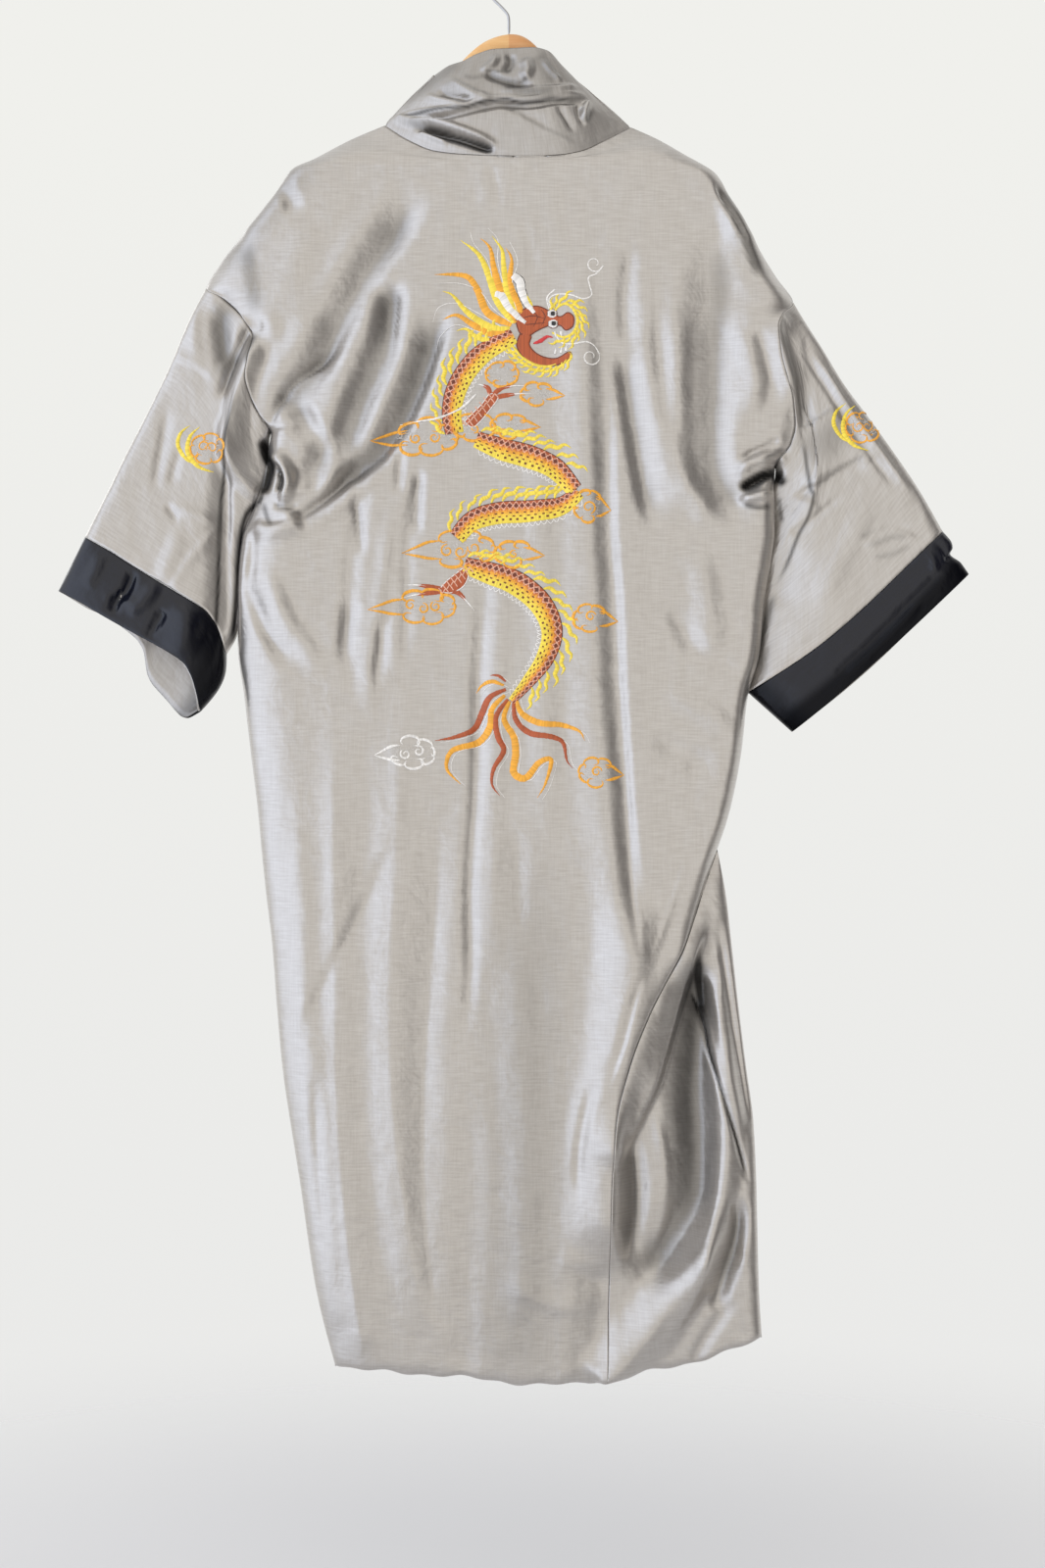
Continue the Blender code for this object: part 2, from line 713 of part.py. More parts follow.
def ring_place(section, q, bow):
    """A place on a sleeve's section, q from the outer edge to the inner one."""
    outer = Vector((section["outer_x"], section["outer_drop"]))
    inner = Vector((section["inner_x"], section["inner_drop"]))
    along = (inner - outer).normalized()
    square = Vector((-along.y, along.x)) if outer.x < 0 else Vector((along.y, -along.x))
    return outer.lerp(inner, q) + square * bow * math.sin(math.pi * q**BOW_SKEW)


def armhole_correction(side, q):
    """How far the armhole seam departs from the straight line between its ends."""
    v = lerp(ARMHOLE_TOP, ARMHOLE_BOTTOM, q)
    return row_end(v, side) - row_end(ARMHOLE_TOP, side).lerp(row_end(ARMHOLE_BOTTOM, side), q)


def sleeve_section(side, t):
    rows = sleeve_rows[side]
    return {c: table_value(rows, c, t * (len(rows) - 1)) for c in SLEEVE_COLUMNS}


def ring_normal(side, q, facing, t):
    """The way out of a sleeve's wall on a seam ring."""
    if t == 0.0:
        return seam_normal(lerp(ARMHOLE_TOP, ARMHOLE_BOTTOM, q), side, facing)
    edge = outward(CUFF_OUTWARD, side) * (1.0 if q < 0.5 else -1.0)
    return turned((0.0, facing, 0.0), edge, abs(2.0 * q - 1.0) ** SEAM_LEAN)


def sleeve_point(side, q, facing, t):
    """A point of a sleeve: facing is -1 on the near side and 1 on the far one, t runs to the hand."""
    section = sleeve_section(side, t)
    place = ring_place(section, q, section["bow"])
    place += armhole_correction(side, q) * (1.0 - smooth(t / ARMHOLE_FADE))
    lift = relief(near_folds, place.x, place.y) if facing < 0 else 0.0
    proud = (section["half_depth"] + lift) * bulge(q)
    y = facing * proud + section["set_back"]
    return Vector((place.x * MM, y * MM, -place.y * MM))


def ring(side, t, point):
    """A closed ring of points round a sleeve, down the near side and back up the far one."""
    places = ring_steps()
    near = [point(q, -1.0, t) for q in places]
    far = [point(q, 1.0, t) for q in reversed(places[:-1])]
    found = near + far
    return found if side == "left" else list(reversed(found))


def make_sleeve(side, material):
    def point(q, facing, t):
        start = SEAM_GAP / SLEEVE_LENGTH
        found = sleeve_point(side, q, facing, max(t, start))
        normal = ring_normal(side, q, facing, t) if t in (0.0, 1.0) else None
        return found, normal

    rows = [ring(side, k / SLEEVE_ALONG, point) for k in range(SLEEVE_ALONG + 1)]
    return cloth("sleeve_" + side, rows, CLOTH_WALL, material)


def cuff_point(side, q, facing, s):
    """A point of a cuff, s from the sleeve's end to the mouth."""
    start = sleeve_point(side, q, facing, 1.0)
    mouth = mouths[side]
    bow = mouth["bow"] if facing < 0 else mouth["far_bow"]
    place = ring_place(mouth, q, bow)
    y = facing * mouth["half_depth"] * bulge(q) + mouth["set_back"]
    end = Vector((place.x * MM, y * MM, -place.y * MM))
    return start.lerp(end, s)


def make_cuff(side, material):
    def point(q, facing, s):
        start = SEAM_GAP / CUFF_LENGTH
        found = cuff_point(side, q, facing, lerp(start, 1.0, s))
        return found, ring_normal(side, q, facing, 1.0)

    rows = [ring(side, k / CUFF_ALONG, point) for k in range(CUFF_ALONG + 1)]
    return cloth("cuff_" + side, rows, CUFF_WALL, material)


def make_facing(side, material):
    """The grey cloth inside a cuff."""
    inset = (CUFF_WALL + LAYER_GAP) * MM

    def point(q, facing, s):
        normal = ring_normal(side, q, facing, 1.0)
        return cuff_point(side, q, facing, lerp(*FACING_SPAN, s)) - normal * inset, normal

    rows = [ring(side, k / CUFF_ALONG, point) for k in range(CUFF_ALONG + 1)]
    return cloth("cuff_facing_" + side, rows, CLOTH_WALL, material)


def collar_station(kind, t):
    """The seam point, free point, bulge and way out of the collar at a station along it."""
    if kind == "neck":
        row = t * (len(neck_rows) - 1)
        seam = back_point(t, 0.0)[0]
        free = at(
            table_value(neck_rows, "top_x", row),
            table_value(neck_rows, "top_drop", row),
            table_value(neck_rows, "top_proud", row),
        )
        return seam, free, table_value(neck_rows, "bulge", row), neck_normal(t)
    side = kind
    v = t * LAST_ROW
    seam = front_point(side, 1.0, v)[0]
    free_x = table_value(front_rows, "free_out", v, "row")
    free_drop = table_value(front_rows, "free_drop", v, "row")
    corner = neck_rows[0] if side == "left" else neck_rows[-1]
    near_corner = 1.0 - smooth(v)
    free_x = lerp(sign_of(side) * free_x, corner["top_x"], near_corner)
    free_drop = lerp(free_drop, corner["top_drop"], near_corner)
    free = at(free_x, free_drop, -table_value(front_rows, "free_proud", v, "row"))
    bulging = lerp(BAND_BULGE, corner["bulge"], near_corner)
    return seam, free, bulging, front_normal(v, side)


def make_collar(material):
    fronts = [v / LAST_ROW for v in body_steps()[1:]]
    stations = [("left", t) for t in reversed(fronts)]
    stations += [("neck", k / COLLAR_NECK_CELLS) for k in range(COLLAR_NECK_CELLS + 1)]
    stations += [("right", t) for t in fronts]
    rows = []
    for kind, t in stations:
        seam, free, out, normal = collar_station(kind, t)
        gap = CORNER_GAPS * SEAM_GAP if kind == "neck" and t in (0.0, 1.0) else SEAM_GAP
        start = seam + (free - seam).normalized() * gap * MM
        row = []
        for k in range(COLLAR_ACROSS + 1):
            share = k / COLLAR_ACROSS
            point = start.lerp(free, share) + normal * out * MM * math.sin(math.pi * share)
            row.append((point, normal if k == 0 else None))
        rows.append(row)
    return cloth("collar", rows, COLLAR_WALL, material)


def square_down(ahead):
    """The way down and square to a line that runs ahead, as (x, drop)."""
    square = Vector((-ahead.y, ahead.x)).normalized()
    return -square if square.y < 0 else square


def hanger_line():
    """The hanger's top edge, which follows the robe's shoulders just under their cloth."""
    clear = CLOTH_WALL + SEAM_GAP + HANGER_CLEARANCE
    shoulder = {}
    for side in ("left", "right"):
        found = []
        for k in range(HANGER_STEPS):
            v = HANGER_ROWS * k / HANGER_STEPS
            row = int(v)
            above, below = row_end(row, side), row_end(row + 1, side)
            # Under the corner of the neck the wood dips clear of the seams that meet there
            dip = NECK_CLEARANCE * (1.0 - smooth(v))
            found.append(above.lerp(below, v - row) + square_down(below - above) * (clear + dip))
        shoulder[side] = found
    left = [Vector(p) for p in CROWN_LEFT]
    right = [Vector(p) for p in CROWN_RIGHT]
    return list(reversed(shoulder["left"])) + left + right + shoulder["right"]


def make_hanger(material):
    line = hanger_line()
    rows = []
    for k, place in enumerate(line):
        square = square_down(line[min(k + 1, len(line) - 1)] - line[max(k - 1, 0)])
        from_end = min(k, len(line) - 1 - k)
        full = HANGER_TAPER[min(from_end, len(HANGER_TAPER) - 1)]
        half_height = 0.5 * HANGER_HEIGHT * full
        middle = place + square * half_height
        ring_points = []
        for j in range(HANGER_AROUND):
            angle = 2.0 * math.pi * j / HANGER_AROUND
            offset = square * half_height * -math.cos(angle)
            y = 0.5 * HANGER_DEPTH * full * math.sin(angle)
            spot = middle + offset
            ring_points.append(Vector((spot.x * MM, y * MM, -spot.y * MM)))
        rows.append(ring_points)
    mesh = bmesh.new()
    verts = [[mesh.verts.new(p) for p in row] for row in rows]
    for a, b in zip(verts, verts[1:]):
        for j in range(HANGER_AROUND):
            ahead = (j + 1) % HANGER_AROUND
            mesh.faces.new((a[j], a[ahead], b[ahead], b[j]))
    mesh.faces.new(list(reversed(verts[0])))
    mesh.faces.new(verts[-1])
    bmesh.ops.recalc_face_normals(mesh, faces=mesh.faces[:])
    data = bpy.data.meshes.new("hanger_body")
    mesh.to_mesh(data)
    mesh.free()
    data.shade_smooth()
    data.set_sharp_from_angle(angle=math.radians(50))
    body = bpy.data.objects.new("hanger_body", data)
    bpy.context.scene.collection.objects.link(body)
    body.data.materials.append(material)
    return body


def make_hook(material):
    radius = HOOK_RADIUS + 0.5 * HOOK_WIRE
    centre = -HOOK_RADIUS
    points = [(0.0, -(CROWN_DROP - SEAM_GAP))] + list(STEM)
    for k in range(HOOK_STEPS + 1):
        angle = math.radians(lerp(HOOK_START, HOOK_END, k / HOOK_STEPS))
        points.append((radius * math.cos(angle), centre + radius * math.sin(angle)))
    curve = bpy.data.curves.new("hanger_hook", "CURVE")
    curve.dimensions = "3D"
    curve.bevel_depth = 0.5 * HOOK_WIRE * MM
    curve.bevel_resolution = 2
    curve.use_fill_caps = True
    spline = curve.splines.new("POLY")
    spline.points.add(len(points) - 1)
    for spot, (x, z) in zip(spline.points, points):
        spot.co = (x * MM, 0.0, z * MM, 1.0)
    body = bpy.data.objects.new("hanger_hook", curve)
    bpy.context.scene.collection.objects.link(body)
    body.data.materials.append(material)
    return body


def main():
    grey = finish("grey_satin", (0.43, 0.41, 0.39), 0.32)
    black = finish("black_satin", (0.012, 0.014, 0.02), 0.35)
    wood = finish("beech", (0.80, 0.50, 0.24), 0.45)
    steel = finish("steel_wire", (0.55, 0.55, 0.56), 0.25, 1.0)
    make_back(grey)
    for side in ("left", "right"):
        make_front(side, grey)
        make_sleeve(side, grey)
        make_cuff(side, black)
        make_facing(side, grey)
    make_collar(grey)
    make_hanger(wood)
    make_hook(steel)


for old in list(bpy.data.objects):
    bpy.data.objects.remove(old, do_unlink=True)
main()
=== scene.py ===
import math
import random

import bpy
import numpy as np
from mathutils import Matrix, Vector, noise
from mathutils.bvhtree import BVHTree


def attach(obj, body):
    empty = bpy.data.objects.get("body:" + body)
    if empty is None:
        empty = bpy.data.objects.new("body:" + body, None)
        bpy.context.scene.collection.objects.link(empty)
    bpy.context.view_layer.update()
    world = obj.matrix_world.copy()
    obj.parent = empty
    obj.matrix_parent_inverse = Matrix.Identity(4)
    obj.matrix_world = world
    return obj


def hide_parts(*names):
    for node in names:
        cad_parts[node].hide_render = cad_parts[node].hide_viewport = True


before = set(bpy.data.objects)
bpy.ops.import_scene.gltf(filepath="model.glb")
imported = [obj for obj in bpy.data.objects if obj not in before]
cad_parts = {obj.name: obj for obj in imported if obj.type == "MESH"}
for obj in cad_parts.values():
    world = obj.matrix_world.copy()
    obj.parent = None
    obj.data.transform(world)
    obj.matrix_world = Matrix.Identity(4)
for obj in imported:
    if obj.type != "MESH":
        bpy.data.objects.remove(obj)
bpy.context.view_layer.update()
scene = bpy.context.scene
mm = 0.001  # tables are in millimetres, and drop is the distance below the hook's inside top

# The picture is 1066 x 1600, and one of its pixels is 1.03 mm at the robe
picture = {"height": 1600, "pixel": 1.03, "middleX": 14.4, "middleDrop": 860.0,
           "lens": 60.0, "sensor": 36.0, "plane": -12.0, "farthest": 50.0}


def makeCamera():
    data = bpy.data.cameras.new("camera")
    data.lens = picture["lens"]
    data.sensor_width = picture["sensor"]
    data.clip_end = picture["farthest"]
    camera = bpy.data.objects.new("camera", data)
    scene.collection.objects.link(camera)
    tall = picture["height"] * picture["pixel"]
    away = tall * picture["lens"] / picture["sensor"]
    camera.location = (picture["middleX"] * mm, (picture["plane"] - away) * mm, -picture["middleDrop"] * mm)
    camera.rotation_euler = (math.radians(90), 0, 0)
    scene.camera = camera


# Sums that the cloth pieces share. They work on whole arrays of places at once.

def lerp(a, b, t):
    return a + (b - a) * t


def smooth(t):
    t = np.clip(t, 0.0, 1.0)
    return t * t * (3.0 - 2.0 * t)


def between(knots, values, t):  # a smooth curve through values that never swings past them
    t = np.clip(np.asarray(t, float), knots[0], knots[-1])
    slopes = np.diff(values) / np.diff(knots)
    before, after = slopes[:-1], slopes[1:]
    sameWay = before * after > 0
    inside = np.where(sameWay, 2.0 * before * after / np.where(sameWay, before + after, 1.0), 0.0)
    tangents = np.concatenate([slopes[:1], inside, slopes[-1:]])
    i = np.clip(np.searchsorted(knots, t, side="right") - 1, 0, len(slopes) - 1)
    width = knots[i + 1] - knots[i]
    s = (t - knots[i]) / width
    return (values[i] * (2 * s**3 - 3 * s**2 + 1) + tangents[i] * width * (s**3 - 2 * s**2 + s)
            + values[i + 1] * (3 * s**2 - 2 * s**3) + tangents[i + 1] * width * (s**3 - s**2))


def flatRound(q):  # a flattened round section: 0 at both ends and nearly 1 between them
    return np.sqrt(np.maximum(0.0, 1.0 - np.abs(2.0 * q - 1.0) ** 4))


def crispRound(q):  # the same with a tight fold at the first end
    return np.where(q < 0.5, np.sqrt(np.maximum(0.0, 1.0 - np.abs(2.0 * q - 1.0) ** 20)), flatRound(q))


def edgeRise(distance, radius, softness):  # round at an outline, soft at a seam
    s = np.clip(distance / radius, 0.0, 1.0)
    return lerp(np.sqrt(1.0 - (1.0 - s) ** 2), smooth(s), softness)


def table(columns, rows):
    return {name: np.array(values, float) for name, values in zip(columns.split(), zip(*rows))}


robe = {
    "clothWall": 1.3, "cuffWall": 1.5, "collarWall": 2.2, "seamGap": 0.3, "layerGap": 0.6,
    # how far the cloth stands out from the robe's middle plane
    "backProud": 27.0, "frontProud": 25.0, "armholeProud": 24.0, "neckProud": 33.0,
    "wrapProud": 8.0, "wrapHemProud": 12.0, "deepest": 14.0, "nearest": 0.15,
    # how wide it turns at an outline, a seam and the hem
    "edgeRound": 46.0, "armholeEdge": 18.0, "rightEdge": 17.0, "ridgeRound": 15.0, "seamRound": 52.0,
    "ridgeFall": 34.0, "rimRound": 16.0, "hemRound": 9.0, "hemSag": 6.0, "hemRow": 85.0,
    # places and stretches counted in body rows
    "armholeTop": 8, "armholeBottom": 16, "waist": 22, "wrapTop": 26, "neckRowsDeep": 4.0, "neckBlend": 2.6,
    "neckFade": 6.0, "turnRows": 2.0, "frontTurnRows": 1.4, "ridgeFrom": 20.0, "ridgeOver": 4.0,
    "seamFrom": 29.5, "seamOver": 2.5, "armholeOver": 3.0,
}
# Rows down the body, as in the construction: each row's two ends, how far its middle sags, and how far
# its right end stands out where the right front wraps round it
bodyRows = table("leftX leftDrop rightX rightDrop sag ridge", (
    (-131, 165, 129, 167, 0, 0),
    (-169, 181, 158, 180, 13, 0),
    (-205, 201, 186, 197, 11, 0),
    (-228, 212, 219, 218, 9, 0),
    (-247, 238, 234, 243, 5, 0),
    (-267, 263, 249, 269, 2, 0),
    (-287, 288, 266, 299, 0, 0),
    (-304, 311, 282, 325, 0, 0),
    (-319, 337, 300, 352, 0, 0),
    (-302, 349, 285, 368, 0, 0),
    (-281, 369, 277, 384, 0, 0),
    (-269, 391, 279, 407, 0, 0),
    (-268, 415, 286, 436, 0, 0),
    (-271, 436, 296, 458, 0, 0),
    (-269, 456, 300, 482, 0, 0),
    (-261, 474, 296, 502, 0, 0),
    (-251, 490, 281, 526, 0, 0),
    (-256, 516, 280, 549, 0, 0),
    (-261, 543, 281, 570, 0, 0),
    (-271, 574, 281, 595, 0, 0),
    (-282, 603, 277, 625, 0, 0),
    (-286, 654, 270, 667, 0, 0),
    (-286, 712, 265, 722, 0, 0),
    (-279, 769, 252, 769, 0, 0),
    (-272, 829, 245, 829, 0, 0),
    (-265, 886, 233, 889, 0, 0),
    (-261, 929, 220, 929, 0, 0),
    (-256, 977, 203, 977, 0, 10),
    (-250, 1027, 185, 1029, 0, 17),
    (-245, 1092, 148, 1100, 0, 20),
    (-239, 1159, 126, 1156, 0, 20),
    (-230, 1221, 112, 1216, 0, 19),
    (-221, 1277, 108, 1275, 0, 18),
    (-203, 1396, 105, 1394, 0, 17),
    (-183, 1472, 103, 1487, 0, 16),
))
# The right outline below the row where the right front wraps round to the back
rimRows = table("x drop", (
    (220, 929), (229, 977), (235, 1029), (243, 1100), (250, 1156), (258, 1216), (261, 1275),
    (264, 1394), (267, 1444),
))
# The back neck seam and the collar's top edge, from the left corner to the right one
neckRows = table("seamX seamDrop topX topDrop topProud bulge", (
    (-131, 165, -80, 112, -3, 2),
    (-106, 184, -62, 104, 10, 6),
    (-78, 198, -50, 101, 13, 10),
    (-48, 203, -33, 93, 14, 12),
    (-15, 205, -16, 88, 14, 12),
    (20, 206, 5, 87, 14, 12),
    (50, 204, 24, 86, 14, 12),
    (76, 198, 40, 89, 13, 10),
    (102, 184, 54, 102, 10, 6),
    (129, 167, 63, 113, -3, 2),
))
# Each front edge and the free edge of its band, as distances out from the robe's centre line
frontRows = table("row seamOut seamDrop freeOut freeDrop freeProud", (
    (0, 130, 166, 72, 113, -3),
    (1, 124, 186, 66, 130, 11),
    (3, 115, 216, 58, 166, 20),
    (5, 105, 262, 48, 220, 24),
    (8, 86, 335, 30, 300, 25),
    (12, 66, 412, 10, 392, 26),
    (16, 55, 500, 2, 496, 26),
    (26, 54, 929, 2, 929, 27),
    (34, 54, 1476, 2, 1476, 27),
))
# Sleeve sections from the armhole to the cuff, and then the cuff's mouth
sleeveRows = {
    "left": table("outerX outerDrop innerX innerDrop bow halfDepth setBack", (
        (-319, 337, -251, 490, 0, 24, 0),
        (-335, 368, -262, 520, 0, 21, 0),
        (-353, 410, -268, 548, 0, 18, 1),
        (-370, 446, -280, 576, 2, 16, 2),
        (-388, 481, -290, 609, -5, 16, 3),
        (-408, 520, -292, 648, -12, 17, 3),
        (-428, 561, -297, 687, -18, 19, 3),
        (-447, 599, -305, 723, -24, 22, 3),
    )),
    "right": table("outerX outerDrop innerX innerDrop bow halfDepth setBack", (
        (300, 352, 281, 526, 0, 24, 0),
        (314, 376, 286, 556, 14, 21, 0),
        (332, 404, 288, 582, 13, 19, 1),
        (353, 438, 286, 611, 8, 20, 2),
        (378, 471, 283, 644, 5, 17, 3),
        (405, 508, 276, 680, 7, 16, 3),
        (434, 551, 270, 718, 9, 17, 3),
        (458, 593, 255, 763, 9, 18, 3),
    )),
}
mouths = {
    "left": {"outerX": -476, "outerDrop": 656, "innerX": -325, "innerDrop": 783,
             "nearBow": -28, "farBow": 12, "halfDepth": 25, "setBack": 3},
    "right": {"outerX": 486, "outerDrop": 638, "innerX": 299, "innerDrop": 805,
              "nearBow": 3, "farBow": 6, "halfDepth": 19, "setBack": 3},
}
# The left sleeve bows out in a lobe near its inner edge, its lining hangs down in a pouch there, and
# the right cuff's outer end is crushed
lobe = table("at out", ((0, 0), (0.15, 0.24), (0.3, 0.42), (0.45, 0.62), (0.6, 0.84), (0.7, 0.96), (0.77, 1),
                        (0.84, 0.84), (0.93, 0.42), (1, 0)))
pouch = table("at low", ((0, 0), (0.15, -4), (0.3, -12), (0.45, -13), (0.53, -9), (0.58, -1), (0.64, 9),
                         (0.69, 13), (0.8, 16), (0.92, 19), (0.96, 16), (1, 0)))
crush = table("at out", ((0, 0), (0.22, 2.5), (0.38, 0), (0.55, -7), (0.74, -1), (1, 0)))
rowNumbers = np.arange(len(bodyRows["leftX"]), dtype=float)
lastRow = int(rowNumbers[-1])

